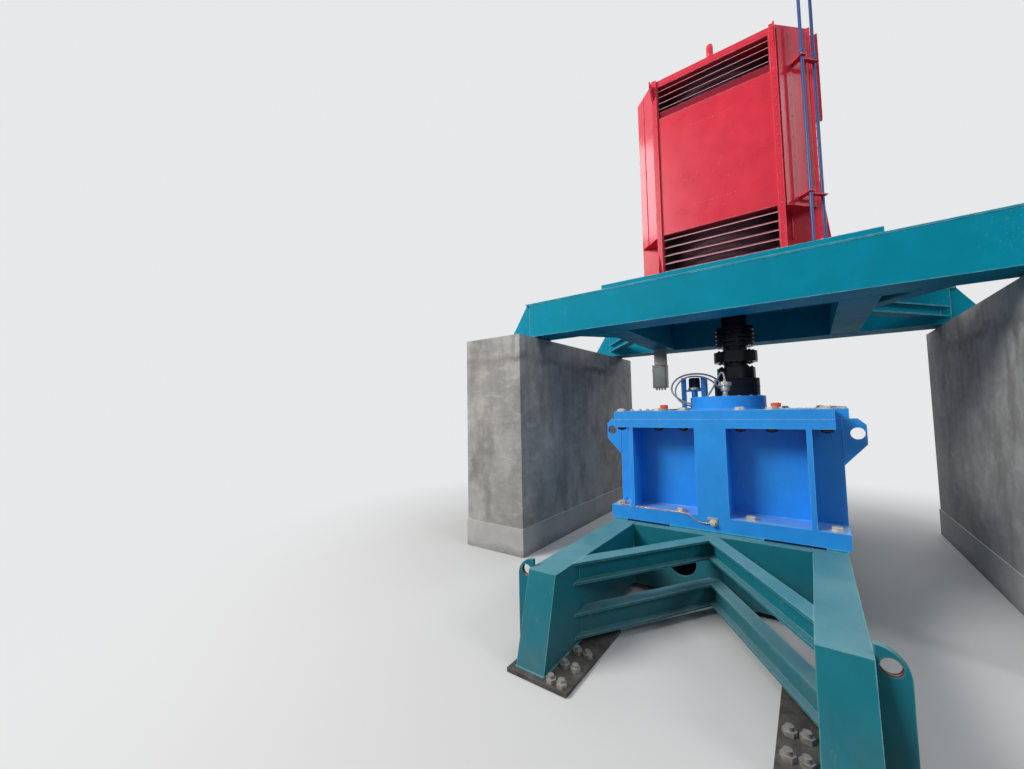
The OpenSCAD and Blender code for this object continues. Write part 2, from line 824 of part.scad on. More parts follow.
// One face of the casing with its two bolted strips and the returns beside the corner notches
module panel(turn, low_open) {
  low_z = low_louvre_z - gen_base_t;
  top_z = top_louvre_z - gen_base_t;
  reach = turn == 3 ? left_strip_d : strip_d;
  color(red) face(turn) difference() {
    union() {
      block([-flat_half, -gen_half, 0], [flat_half, -gen_half + skin_t, panel_h]);
      block([flat_half - skin_t, -gen_half, 0], [flat_half, -flat_half + skin_t, panel_h]);
      block([-flat_half, -gen_half, 0], [-flat_half + skin_t, -flat_half, panel_h]);
      for (side = [-1, 1])
        translate([side * (flat_half - strip_w / 2) - strip_w / 2, -gen_half - reach, 0])
          cube([strip_w, reach + 1, panel_h]);
    }
    if (low_open) opening(low_z, low_louvre_h);
    opening(top_z, top_louvre_h);
  }
}

// A framed grille in a louvre opening, its blades sloping down and out above a leaning sill plate
module grille(z, height, count, sill) {
  frame_t = 8;
  depth = blade_w * cos(blade_tilt) + blade_t;
  pitch = (height - sill - 2 * frame_t) / count;
  inner_w = 2 * (louvre_half_w - frame_t);
  translate([0, -gen_half, z]) union() {
    difference() {
      translate([-louvre_half_w, 0, 0]) cube([2 * louvre_half_w, depth, height]);
      translate([-inner_w / 2, -1, frame_t]) cube([inner_w, depth + 2, height - 2 * frame_t]);
    }
    for (i = [0:count - 1])
      translate([0, depth / 2, sill + frame_t + pitch * (i + 0.5)]) rotate([blade_tilt, 0, 0])
        cube([inner_w + 1, blade_w, blade_t], center = true);
    if (sill > 0)
      yz_prism(0, inner_w + 1, [
        [skin_t, sill], [sill_d, frame_t / 2], [sill_d + frame_t, frame_t / 2],
        [skin_t + frame_t, sill]
      ]);
  }
}

module louvres(turn, low_open) {
  color(red) face(turn) {
    if (low_open) grille(low_louvre_z - gen_base_t, low_louvre_h, low_blades, 0);
    grille(top_louvre_z - gen_base_t, top_louvre_h, top_blades, sill_h);
  }
}

module access_hatch() {
  hatch_t = 14;
  margin = 40;
  color(red) face(1)
    translate([-louvre_half_w + margin, -gen_half - hatch_t, low_louvre_z - gen_base_t])
      cube([2 * louvre_half_w - 2 * margin, hatch_t, low_louvre_h]);
}

// The plates that close the corner notches above the open foot of each corner
module corner_panels() {
  z = cover_z - gen_base_t;
  plan = [[flat_half, -gen_half], [gen_half, -flat_half], [flat_half, -flat_half]];
  inner = skin_t * sqrt(2);
  color(red) for (turn = [0:3]) face(turn) {
    translate([0, 0, z]) linear_extrude(height = skin_t) polygon(plan);
    translate([0, 0, z + skin_t]) linear_extrude(height = panel_h - z - skin_t) polygon([
      [flat_half, -gen_half], [gen_half, -flat_half],
      [gen_half - inner, -flat_half], [flat_half, -gen_half + inner]
    ]);
  }
}

// Children placed on a corner face, with +Y pointing into the casing
module corner(turn) {
  face(turn) translate([corner_mid, -corner_mid, 0]) rotate([0, 0, 45]) children();
}

// Two plates side by side on each corner face, the first one thicker, so that a step shows
module corner_covers() {
  z = cover_z - gen_base_t;
  low = corner_cover_edge - corner_half;
  high = corner_half - corner_cover_edge;
  seam = low + corner_seam * (high - low);
  color(red) for (turn = [0:3]) corner(turn) translate([0, 0, z]) union() {
    block([low, -corner_cover_d, 0], [seam, 0, corner_cover_h]);
    block([seam - 1, -corner_step_d, 0], [high, 0, corner_cover_h]);
  }
}

// Fins that flare out from the strips to the seat, tall on the right face and short on two others
module foot_gussets() {
  root = gen_half + strip_d;
  for (turn = [0:2], side = [-1, 1]) {
    height = turn == 1 ? gusset_h : short_gusset_h;
    color(red) on_axis(gen_z) rotate([0, 0, 90 * turn])
      yz_prism(side * (flat_half - gusset_t / 2), gusset_t, [
        [-root - gusset_reach, 0], [-root, 0], [-root, height], [-root - gusset_t / 4, height]
      ]);
  }
}

// The top plate, with tabs over the bolted strips
module top_plate() {
  color(red) on_axis(gen_top - gen_top_t) linear_extrude(height = gen_top_t) union() {
    gen_plan(0);
    for (turn = [0:3], side = [-1, 1]) {
      reach = turn == 3 ? left_strip_d : strip_d;
      rotate([0, 0, 90 * turn])
        translate([side * (flat_half - strip_w / 2) - strip_w / 2, -gen_half - reach])
          square([strip_w, reach + 1]);
    }
  }
}

module top_crown() {
  color(red) on_axis(gen_top) cylinder(r = crown_r, h = crown_h);
}

// Holed ears on the front and back strips, wide at the top and running out downwards
module lifting_lugs() {
  root = gen_half + strip_d;
  nose = lift_h * 0.3;
  color(red) for (turn = [0, 2], side = [-1, 1])
    on_axis(gen_top - lift_drop - lift_h) rotate([0, 0, 90 * turn])
      translate([side * (flat_half - lift_t / 2), 0, 0]) rotate([90, 0, 90])
        linear_extrude(height = lift_t, center = true) difference() {
          polygon([
            [-root, 0], [-root, lift_h], [-root - lift_reach, lift_h],
            [-root - lift_reach, lift_h - nose], [-root - lift_t / 4, 0]
          ]);
          translate([-root - lift_reach * 0.55, lift_h * 0.75]) circle(r = lift_hole_r);
        }
}

// A slim cable duct bolted to the right face's front strip
module side_duct() {
  color(red) on_axis(gen_z) translate([gen_half + strip_d, -flat_half, duct_z])
    cube([duct_d, duct_w, duct_h]);
}

module terminal_box() {
  color(red) on_axis(gen_z + term_z) translate([0, gen_half + term_gap, 0])
    cube([term_w, term_d, term_h]);
}

// The duct keeps clear of the bolted strips and meets the back panel itself
module terminal_duct() {
  color(red) on_axis(gen_z + term_z + term_duct_z)
    translate([term_w * 0.14, gen_half, 0]) cube([term_duct_w, term_gap, term_duct_h]);
}

// A pipe's place from the generator axis, given its place on the front right corner face
function pipe_place(along, out) = [
  corner_mid + (along + out) / sqrt(2), -corner_mid + (along - out) / sqrt(2)
];

pipe_places = [pipe_place(pipe_1_along, pipe_1_out), pipe_place(pipe_2_along, pipe_2_out)];

// Two straight pipes from the bracket's top, each with a flange at its open upper end
module oil_pipes() {
  flange_h = pipe_r;
  length = gen_top + pipe_rise - seat_top;
  for (place = pipe_places)
    color(blue) on_axis(seat_top) translate([place[0], place[1], 0]) union() {
      cylinder(r = pipe_r, h = length);
      translate([0, 0, length - flange_h]) cylinder(r = pipe_flange_r, h = flange_h);
    }
}

// Flat arms that stand out from the front right corner cover and hold both pipes
module pipe_clamps() {
  rim = pipe_r * 2;
  color(red) for (z = [clamp_z, clamp_z + clamp_rise]) on_axis(gen_z + z) difference() {
    translate([corner_mid, -corner_mid, 0]) rotate([0, 0, 45]) union() {
      block([-rim - 8, -pipe_1_out - rim, 0], [rim - 8, -corner_cover_d, clamp_t]);
      block([-rim, -pipe_2_out - rim, 0], [pipe_2_along + rim, -pipe_2_out + rim / 2, clamp_t]);
    }
    for (place = pipe_places)
      translate([place[0], place[1], -1]) cylinder(r = pipe_r + 0.3, h = clamp_t + 2);
  }
}

module oil_head() {
  color(steel) on_axis(gen_top + crown_h) cylinder(r = oil_head_r, h = oil_head_h);
}

pier(-1);  // pier_left
pier(1);  // pier_right
bearing_plates();
sole_plates();
anchor_bolts();
lower_girder(-1);  // lower_girder_left
lower_girder(1);  // lower_girder_right
bracket_lugs();
lower_cross(-1);  // lower_cross_front
lower_cross(1);  // lower_cross_back
lower_brace(-1, -1);  // lower_brace_front_left
lower_brace(1, -1);  // lower_brace_front_right
lower_brace(-1, 1);  // lower_brace_back_left
lower_brace(1, 1);  // lower_brace_back_right
seat_pads();
gearbox_case();
case_lugs();
gearbox_cover();
slow_bearing_cap();
fast_bearing_housing();
gearbox_fittings();
coupling_lower();
coupling_flexible();
generator_shaft();
upper_beam(-1);  // upper_beam_front
upper_beam(1);  // upper_beam_back
upper_side(-1);  // upper_side_left
upper_side(1);  // upper_side_right
end_brace(-1, -1);  // end_brace_front_left
end_brace(1, -1);  // end_brace_front_right
end_brace(-1, 1);  // end_brace_back_left
end_brace(1, 1);  // end_brace_back_right
seat_frame();
junction_box();
generator_base();
lower_guide_bearing();
stator_core();
panel(0, true);  // panel_front
panel(1, false);  // panel_right
panel(2, true);  // panel_back
panel(3, true);  // panel_left
louvres(0, true);  // louvres_front
louvres(1, false);  // louvre_right
louvres(2, true);  // louvres_back
louvres(3, true);  // louvres_left
access_hatch();
corner_panels();
corner_covers();
foot_gussets();
top_plate();
top_crown();
lifting_lugs();
side_duct();
terminal_box();
terminal_duct();
oil_pipes();
pipe_clamps();
oil_head();
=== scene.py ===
import json
import math

import bpy
from mathutils import Matrix, Vector


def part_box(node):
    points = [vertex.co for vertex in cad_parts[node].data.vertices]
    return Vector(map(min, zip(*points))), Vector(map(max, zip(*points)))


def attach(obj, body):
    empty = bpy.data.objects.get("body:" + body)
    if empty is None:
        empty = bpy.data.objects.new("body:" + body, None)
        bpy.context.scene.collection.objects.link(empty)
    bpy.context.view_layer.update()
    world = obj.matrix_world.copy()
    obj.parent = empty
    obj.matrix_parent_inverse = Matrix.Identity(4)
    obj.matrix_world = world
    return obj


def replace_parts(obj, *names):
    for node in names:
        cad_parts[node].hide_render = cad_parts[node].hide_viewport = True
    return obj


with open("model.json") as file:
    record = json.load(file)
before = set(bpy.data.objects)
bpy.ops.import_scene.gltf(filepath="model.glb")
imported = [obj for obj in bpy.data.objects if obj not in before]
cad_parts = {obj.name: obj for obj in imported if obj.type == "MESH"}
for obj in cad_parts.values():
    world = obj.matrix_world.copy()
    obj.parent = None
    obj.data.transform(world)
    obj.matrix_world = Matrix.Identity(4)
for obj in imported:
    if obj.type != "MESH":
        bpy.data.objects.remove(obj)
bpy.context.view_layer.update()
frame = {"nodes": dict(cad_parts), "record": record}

# Camera, at a standing eye height in front of the bay
EYE = Vector((0.693, -4.7, 1.6))
YAW = math.radians(36.473)
PITCH = math.radians(3.623)
ROLL = math.radians(-0.983)
FOCAL_SHARE = 403.25 / 1024
SENSOR = 36.0


def make_camera():
    data = bpy.data.cameras.new("camera")
    camera = bpy.data.objects.new("camera", data)
    bpy.context.scene.collection.objects.link(camera)
    data.sensor_fit = "HORIZONTAL"
    data.sensor_width = SENSOR
    data.lens = FOCAL_SHARE * SENSOR
    data.clip_end = 200
    turn = Matrix.Rotation(YAW, 4, "Z") @ Matrix.Rotation(math.pi / 2 + PITCH, 4, "X")
    camera.matrix_world = Matrix.Translation(EYE) @ turn @ Matrix.Rotation(ROLL, 4, "Z")
    bpy.context.scene.camera = camera


make_camera()

# The generator's upright axis
shaft_low, shaft_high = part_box("generator_shaft")
AXIS_X = (shaft_low.x + shaft_high.x) / 2
AXIS_Y = (shaft_low.y + shaft_high.y) / 2
AXIS = (AXIS_X, AXIS_Y)

# Shader helpers: each adds nodes to a tree, which a socket knows, and gives back the socket with the result
NODE_COLUMNS = 9
NODE_STEP = (210, -260)
FLOAT = "NodeSocketFloat"


def feed(socket, value):
    """Links a socket to another, or sets it to a colour or a number."""
    if isinstance(value, bpy.types.NodeSocket):
        socket.id_data.links.new(value, socket)
    elif socket.type == "RGBA":
        socket.default_value = (*value, 1)
    else:
        socket.default_value = value


def node(tree, kind, inputs=None, **settings):
    """A node with its settings, and what goes into its inputs."""
    made = tree.nodes.new(kind)
    row, column = divmod(len(tree.nodes), NODE_COLUMNS)
    made.location = (NODE_STEP[0] * column, NODE_STEP[1] * row)
    for name, value in settings.items():
        setattr(made, name, value)
    for label, value in (inputs or {}).items():
        feed(made.inputs[label], value)
    return made


def maths(operation, first, second=0.0):
    tree = (first if isinstance(first, bpy.types.NodeSocket) else second).id_data
    return node(tree, "ShaderNodeMath", {0: first, 1: second}, operation=operation).outputs[0]


def product(first, *others):
    for other in others:
        first = maths("MULTIPLY", first, other)
    return first


def remap(value, low, high, to_low=0.0, to_high=1.0, curve="LINEAR"):
    inputs = {"Value": value, "From Min": low, "From Max": high, "To Min": to_low, "To Max": to_high}
    return node(value.id_data, "ShaderNodeMapRange", inputs, interpolation_type=curve).outputs["Result"]


def mixed(share, first, second):
    return node(share.id_data, "ShaderNodeMix", {0: share, 6: first, 7: second}, data_type="RGBA").outputs[2]


def position(tree, stretch=(1, 1, 1), shift=(0, 0, 0)):
    place = node(tree, "ShaderNodeTexCoord").outputs["Object"]
    return node(tree, "ShaderNodeMapping", {"Vector": place, "Scale": stretch, "Location": shift}).outputs[0]


def noise(tree, scale, detail, roughness=0.55, stretch=(1, 1, 1), shift=(0, 0, 0)):
    place = position(tree, stretch, shift)
    inputs = {"Vector": place, "Scale": scale, "Detail": detail, "Roughness": roughness}
    return node(tree, "ShaderNodeTexNoise", inputs).outputs["Fac"]


def rise_of(vector):
    return node(vector.id_data, "ShaderNodeSeparateXYZ", {0: vector}).outputs["Z"]


def surface_normal(tree):
    return node(tree, "ShaderNodeNewGeometry").outputs["Normal"]


# Shared effects
def shader_group(name, inputs, *outputs):
    """A group of nodes, with the label and usual value of each input and the label of each output."""
    tree = bpy.data.node_groups.new(name, "ShaderNodeTree")
    for label, value in inputs.items():
        tree.interface.new_socket(label, in_out="INPUT", socket_type=FLOAT).default_value = value
    for label in outputs:
        tree.interface.new_socket(label, in_out="OUTPUT", socket_type=FLOAT)
    return tree, node(tree, "NodeGroupInput").outputs, node(tree, "NodeGroupOutput").inputs


def make_edge_wear_and_highlight():
    """Marks a narrow, broken band along every sharp edge: paint wear, and a painted highlight where edges catch
    the light.
    """
    tree, given, result = shader_group("edge_wear_and_highlight", {"Radius": 0.008, "Amount": 0.6}, "Mask")
    rounded = node(tree, "ShaderNodeBevel", {"Radius": given["Radius"]}, samples=4).outputs[0]
    normals = {0: rounded, 1: surface_normal(tree)}
    agreement = node(tree, "ShaderNodeVectorMath", normals, operation="DOT_PRODUCT").outputs["Value"]
    edge = remap(maths("SUBTRACT", 1.0, agreement), 0.03, 0.22)
    broken = remap(noise(tree, 14, 4), 0.38, 0.62, 0.35, 1.0)
    feed(result["Mask"], product(edge, broken, given["Amount"]))
    return tree


def make_weathering():
    """Dust on what faces up, which with a tinted tone also paints sky sheen; runs on what stands upright, and
    broad soft stains.
    """
    tree, given, result = shader_group(
        "weathering", {"Dust": 0.5, "Runs": 0.4, "Stains": 0.4}, "Dust", "Runs", "Stains")
    up = rise_of(surface_normal(tree))
    flat = remap(up, 0.45, 0.95)
    cloud = remap(noise(tree, 2.3, 5), 0.3, 0.66, 0.45, 1.0)
    upright = remap(maths("ABSOLUTE", up), 0.25, 0.6, 1.0, 0.0)
    streaks = remap(noise(tree, 2.2, 4, stretch=(7, 7, 0.45)), 0.53, 0.74)
    stains = remap(noise(tree, 1.4, 6, stretch=(1, 1, 0.7), shift=(3, 5, 1)), 0.42, 0.72)
    feed(result["Dust"], product(flat, cloud, given["Dust"]))
    feed(result["Runs"], product(streaks, upright, given["Runs"]))
    feed(result["Stains"], product(stains, given["Stains"]))
    return tree


def make_paint_grain():
    """The fine ripple of sprayed paint over slightly uneven plate."""
    tree, given, result = shader_group("paint_grain", {"Scale": 160.0}, "Height", "Mottle")
    ripple = product(noise(tree, given["Scale"], 2), 0.1)
    plate = noise(tree, 1.1, 1, stretch=(1, 1, 0.6))
    feed(result["Height"], maths("ADD", ripple, plate))
    feed(result["Mottle"], remap(noise(tree, 5.5, 5), 0.3, 0.7))
    return tree


def make_scuffs():
    """Sparse short scratches and rubbed patches, as handling leaves on paint."""
    tree, given, result = shader_group("scuffs", {"Amount": 0.4}, "Mask")
    places = remap(noise(tree, 1.7, 3, stretch=(1, 1, 1.6), shift=(4, 1, 7)), 0.5, 0.68)
    lines = remap(noise(tree, 9, 5, 0.65, stretch=(5, 5, 1.3)), 0.6, 0.72)
    specks = remap(noise(tree, 75, 3, shift=(9, 2, 3)), 0.67, 0.74)
    marks = maths("MAXIMUM", lines, specks)
    feed(result["Mask"], product(marks, places, given["Amount"]))
    return tree


# The edge band paints wear and, where it is strong and wide, the highlight that edges catch.
EDGE_WEAR_AND_HIGHLIGHT = make_edge_wear_and_highlight()
WEATHERING = make_weathering()
PAINT_GRAIN = make_paint_grain()
SCUFFS = make_scuffs()


def effect(tree, group, **values):
    return node(tree, "ShaderNodeGroup", values, node_tree=group).outputs


# Finishes
SHADER = "Principled BSDF"


def new_finish(name, metallic=0.0, specular=0.5):
    finish = bpy.data.materials.new(name)
    finish.use_nodes = True
    skin = finish.node_tree.nodes[SHADER].inputs
    skin["Metallic"].default_value = metallic
    skin["Specular IOR Level"].default_value = specular
    return finish, finish.node_tree, skin


def coat(skin, tone, rough, height, depth, strength=0.5):
    """Gives the shader its colour and roughness, and a relief with a depth in metres."""
    bump = node(tone.id_data, "ShaderNodeBump", {"Height": height, "Distance": depth, "Strength": strength})
    for label, value in (("Base Color", tone), ("Roughness", rough), ("Normal", bump.outputs[0])):
        feed(skin[label], value)


def darker(colour, share, lift=0.0):
    return tuple(share * part + lift for part in colour)


MOTTLE_SHADE = 0.86
STAIN_SHADE = 0.74
RUN_SHADE = 0.6
MATT = 0.75
DUST_TONE = (0.5, 0.5, 0.47)
SPLASH_TONE = (0.17, 0.165, 0.15)
SPLASH_LOW, SPLASH_TOP = 0.03, 0.4


def painted(name, colour, edge_tone, gloss=0.36, wear_and_highlight=0.55, dust=0.5, runs=0.3, stains=0.3, edge_band_width=0.007,
            specular=0.35, scuffed=0.3, dust_and_sheen_tone=DUST_TONE, splash=0.0):
    """Sprayed paint on steel: mottled, paler at its edges (wear and a painted highlight), dusty on top (a tinted
    top tone also paints sky sheen), streaked and scuffed on its sides.
    """
    finish, tree, skin = new_finish(name, specular=specular)
    grain = effect(tree, PAINT_GRAIN)
    soil = effect(tree, WEATHERING, Dust=dust, Runs=runs, Stains=stains)
    edges = effect(tree, EDGE_WEAR_AND_HIGHLIGHT, Radius=edge_band_width, Amount=wear_and_highlight)["Mask"]
    scuffs = effect(tree, SCUFFS, Amount=scuffed)["Mask"]
    tone = mixed(grain["Mottle"], darker(colour, MOTTLE_SHADE), colour)
    tone = mixed(soil["Stains"], tone, darker(colour, STAIN_SHADE))
    tone = mixed(soil["Runs"], tone, darker(colour, RUN_SHADE, 0.01))
    if splash:
        near_floor = remap(rise_of(position(tree)), SPLASH_LOW, SPLASH_TOP, splash, 0.0)
        patches = remap(noise(tree, 6, 7, 0.7, stretch=(1, 1, 0.6)), 0.34, 0.62, 0.25, 1.0)
        tone = mixed(product(near_floor, patches), tone, SPLASH_TONE)
    # The pale edge tone paints wear and edge highlights; a tinted top tone paints sky sheen along with dust.
    for share, layer in ((scuffs, edge_tone), (edges, edge_tone), (soil["Dust"], dust_and_sheen_tone)):
        tone = mixed(share, tone, layer)
    matt = maths("MAXIMUM", maths("MAXIMUM", soil["Dust"], soil["Stains"]), scuffs)
    rough = maths("ADD", remap(matt, 0, 1, gloss, MATT), remap(grain["Mottle"], 0, 1, -0.04, 0.05))
    coat(skin, tone, rough, grain["Height"], 0.004)
    return finish


# Tones of the piers' render, and the heights at which they change
RENDER_DARK = (0.27, 0.262, 0.248)
RENDER_PALE = (0.5, 0.485, 0.46)
TROWEL_TONE = (0.56, 0.545, 0.52)
BLOT_TONE = (0.17, 0.163, 0.155)
SAND_TONE = (0.36, 0.35, 0.33)
RUN_TONE = (0.15, 0.145, 0.138)
DAMP_TONE = (0.13, 0.125, 0.12)
SKIRTING_TONE = (0.52, 0.51, 0.5)
FOOT_TONE = (0.2, 0.19, 0.18)
SKIRTING_TOP = 0.3
POUR_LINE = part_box("pier_left")[1].z - 0.27


def concrete_finish():
    """Trowelled render: cloudy grey with damp patches, soft runs, fine pits and a paler skirting."""
    finish, tree, skin = new_finish("pier_concrete", specular=0.25)
    height = rise_of(position(tree))
    cloud = noise(tree, 1.5, 9, 0.66)
    blots = noise(tree, 2.6, 7, 0.68, stretch=(1, 1, 0.55), shift=(5, 3, 1))
    sand = noise(tree, 110, 4, 0.7)
    sweeps = noise(tree, 3.2, 6, 0.6, stretch=(1.6, 1.6, 3.4), shift=(1, 6, 2))
    runs = noise(tree, 2.4, 7, 0.68, stretch=(3.6, 3.6, 0.4), shift=(2, 0, 4))
    low_runs = product(remap(runs, 0.5, 0.7), remap(height, 0.5, 2.3, 0.12, 0.5))
    wavy = maths("ADD", height, remap(blots, 0.3, 0.7, -0.09, 0.09))
    pour_line = product(
        remap(wavy, POUR_LINE - 0.1, POUR_LINE, curve="SMOOTHSTEP"),
        remap(wavy, POUR_LINE + 0.01, POUR_LINE + 0.07, 1.0, 0.0))
    skirting = remap(height, SKIRTING_TOP, SKIRTING_TOP + 0.002, 1.0, 0.0)
    ragged = maths("ADD", height, remap(blots, 0.3, 0.7, -0.06, 0.06))
    tone = mixed(remap(cloud, 0.36, 0.64), RENDER_DARK, RENDER_PALE)
    for share, layer in (
            (remap(sweeps, 0.52, 0.7, 0, 0.5), TROWEL_TONE),
            (remap(blots, 0.5, 0.66, 0, 0.75), BLOT_TONE),
            (product(sand, 0.3), SAND_TONE),
            (low_runs, RUN_TONE),
            (product(pour_line, remap(cloud, 0.4, 0.6, 0.15, 0.75)), DAMP_TONE),
            (product(skirting, 0.65), SKIRTING_TONE),
            (remap(ragged, 0.0, 0.1, 0.6, 0.0), FOOT_TONE)):
        tone = mixed(share, tone, layer)
    pits = node(tree, "ShaderNodeTexVoronoi", {"Vector": position(tree), "Scale": 26}, feature="F1")
    holes = product(remap(pits.outputs["Distance"], 0.0, 0.16), 0.3)
    relief = maths("ADD", product(sand, 0.35), holes)
    rough = remap(cloud, 0.3, 0.7, 0.8, 0.95)
    coat(skin, tone, rough, maths("ADD", relief, sweeps), 0.006, 0.7)
    return finish


def metal(name, colour, shade, roughness, metallic, scale, wear_and_highlight=0.4, edge_tone=(0.6, 0.58, 0.55)):
    """Bare metal with a patchy surface and brighter worn edges."""
    finish, tree, skin = new_finish(name, metallic)
    patches = noise(tree, scale, 5)
    edges = effect(tree, EDGE_WEAR_AND_HIGHLIGHT, Radius=0.003, Amount=wear_and_highlight)["Mask"]
    tone = mixed(edges, mixed(remap(patches, 0.35, 0.65), shade, colour), edge_tone)
    rough = remap(patches, 0.3, 0.7, roughness + 0.12, roughness - 0.08)
    coat(skin, tone, rough, patches, 0.0006)
    return finish


def turned_steel():
    """Blackened steel with fine lathe rings round the shaft's axis."""
    colour = (0.018, 0.018, 0.022)
    finish, tree, skin = new_finish("blackened_steel", 0.7)
    inputs = {"Vector": position(tree, shift=(-AXIS_X, -AXIS_Y, 0)), "Scale": 60, "Distortion": 0.4}
    rings = node(tree, "ShaderNodeTexWave", inputs, wave_type="RINGS", rings_direction="Z").outputs["Fac"]
    patches = noise(tree, 9, 5)
    edges = effect(tree, EDGE_WEAR_AND_HIGHLIGHT, Radius=0.006, Amount=0.75)["Mask"]
    dust = effect(tree, WEATHERING, Dust=0.25, Runs=0.1, Stains=0.5)["Dust"]
    tone = mixed(patches, darker(colour, 0.6), colour)
    tone = mixed(dust, mixed(edges, tone, (0.16, 0.165, 0.18)), (0.2, 0.19, 0.18))
    relief = maths("ADD", product(rings, 0.25), patches)
    coat(skin, tone, remap(patches, 0.3, 0.7, 0.24, 0.46), relief, 0.0008)
    return finish


def laminated_core():
    """The stator's stacked sheets, nearly black, with dusty patches; their red-purple tint paints the red light
    bounced inside the casing.
    """
    finish, tree, skin = new_finish("laminated_core")
    inputs = {"Vector": position(tree), "Scale": 22}
    sheets = node(tree, "ShaderNodeTexWave", inputs, wave_type="BANDS", bands_direction="Z").outputs["Fac"]
    # The red-purple tint of both tones paints red light bounced inside the casing.
    tone = mixed(sheets, (0.09, 0.04, 0.062), (0.2, 0.105, 0.15))
    dust = remap(noise(tree, 6, 4), 0.5, 0.8, 0, 0.3)
    coat(skin, mixed(dust, tone, (0.05, 0.04, 0.04)), 0.7, sheets, 0.004, 0.8)
    return finish


TEAL = (0.001, 0.258, 0.375)
PALE_TEAL = (0.36, 0.64, 0.68)
BLUE = (0.022, 0.31, 0.85)
RED = (0.7, 0.018, 0.048)
PALE_RED = (0.9, 0.36, 0.4)

# Beam teal; its wide, strong pale edges paint the highlight along the flange edges as well as wear.
BEAM_PAINT = painted("beam_teal", TEAL, PALE_TEAL, gloss=0.56, dust=0.3, wear_and_highlight=1.0, runs=0.2, specular=0.06,
                     edge_band_width=0.012)
# A darker copy of the beams' teal that paints the shade over the lower bracket; its teal top tone paints sky light
# on up-facing faces along with dust, and it has floor splash.
SHADED_BRACKET_PAINT = painted("shaded_bracket_teal", (0.008, 0.172, 0.222), (0.26, 0.5, 0.52), gloss=0.48, dust=0.28, wear_and_highlight=0.8,
                      runs=0.35, stains=0.45, specular=0.2, scuffed=0.55, dust_and_sheen_tone=(0.36, 0.52, 0.55),
                      splash=0.35, edge_band_width=0.01)
# Gearbox blue; its pale bluish top tone paints the sky's sheen on up-facing faces along with dust.
BLUE_PAINT = painted("gearbox_blue", BLUE, (0.3, 0.58, 0.95), gloss=0.34, dust=0.42, wear_and_highlight=0.75, runs=0.15,
                     dust_and_sheen_tone=(0.4, 0.54, 0.76))
# A dark navy that paints the shade on the fast bearing housing; the pump motor and the housing bands share it.
SHADED_BLUE = painted("shaded_housing_blue", (0.008, 0.014, 0.032), (0.04, 0.07, 0.15), gloss=0.5, dust=0.1,
                      specular=0.2)
PIPE_PAINT = painted("pipe_blue", (0.03, 0.085, 0.27), (0.3, 0.4, 0.62), gloss=0.3, dust=0.2, wear_and_highlight=0.4)
RED_PAINT = painted("casing_red", RED, PALE_RED, gloss=0.26, dust=0.3, wear_and_highlight=0.6, stains=0.15, runs=0.12,
                    specular=0.38, scuffed=0.15)
SMOOTH_RED = painted("cover_red", RED, PALE_RED, gloss=0.11, dust=0.2, wear_and_highlight=0.6, stains=0.1, runs=0.1,
                     specular=0.5, scuffed=0.1)
# A darker red that paints the shade in the louvres; its pale edges paint the highlight on the blade edges.
SHADED_LOUVRE_PAINT = painted("shaded_louvre_red", (0.36, 0.012, 0.035), (0.95, 0.5, 0.56), gloss=0.3, wear_and_highlight=1.0,
                       edge_band_width=0.003)
# A pale pink that paints the highlight on the blades' rolled edges.
HIGHLIT_HEM_RED = painted("highlit_blade_hem", (0.9, 0.46, 0.51), (0.95, 0.72, 0.75), gloss=0.25, dust=0.0, runs=0.0, stains=0.0)
GREY_PAINT = painted("grey_fitting", (0.33, 0.35, 0.33), (0.55, 0.56, 0.54))
# Sealant bead whose pale blue also paints the highlight along the cover's joint.
SEALANT_AND_HIGHLIGHT = painted("joint_sealant_and_highlight", (0.3, 0.46, 0.66), (0.5, 0.6, 0.75), gloss=0.5)
TUBE_GREY = painted("tube_grey", (0.58, 0.59, 0.61), (0.72, 0.72, 0.74), gloss=0.35, dust=0.1, runs=0.0)
ORANGE = painted("orange_caps", (0.85, 0.09, 0.02), (0.95, 0.4, 0.25), gloss=0.4, dust=0.15)
BAFFLE_BLACK = painted("baffle_black", (0.045, 0.036, 0.042), (0.1, 0.09, 0.1), gloss=0.6, dust=0.2)
PRIMER = painted("hole_primer", (0.16, 0.035, 0.03), (0.3, 0.1, 0.08), gloss=0.6)
PLATE_STEEL = metal("plate_steel", (0.12, 0.115, 0.105), (0.05, 0.045, 0.04), 0.6, 0.45, 12, 0.3)
ANCHOR_STEEL = metal("anchor_steel", (0.4, 0.38, 0.35), (0.22, 0.2, 0.18), 0.5, 0.5, 40)
ZINC = metal("zinc_bolts", (0.66, 0.62, 0.56), (0.46, 0.41, 0.34), 0.42, 0.45, 60)
STEEL = metal("bright_steel", (0.56, 0.57, 0.57), (0.4, 0.41, 0.42), 0.34, 0.6, 30)
COPPER = metal("copper_tube", (0.62, 0.33, 0.2), (0.4, 0.19, 0.11), 0.35, 0.8, 25)
BRASS = metal("brass_fittings", (0.72, 0.5, 0.16), (0.5, 0.33, 0.1), 0.35, 0.7, 25)
BLACK_NUTS = metal("black_nuts", (0.055, 0.035, 0.035), (0.02, 0.013, 0.013), 0.5, 0.5, 40, 0.3,
                   (0.12, 0.1, 0.1))

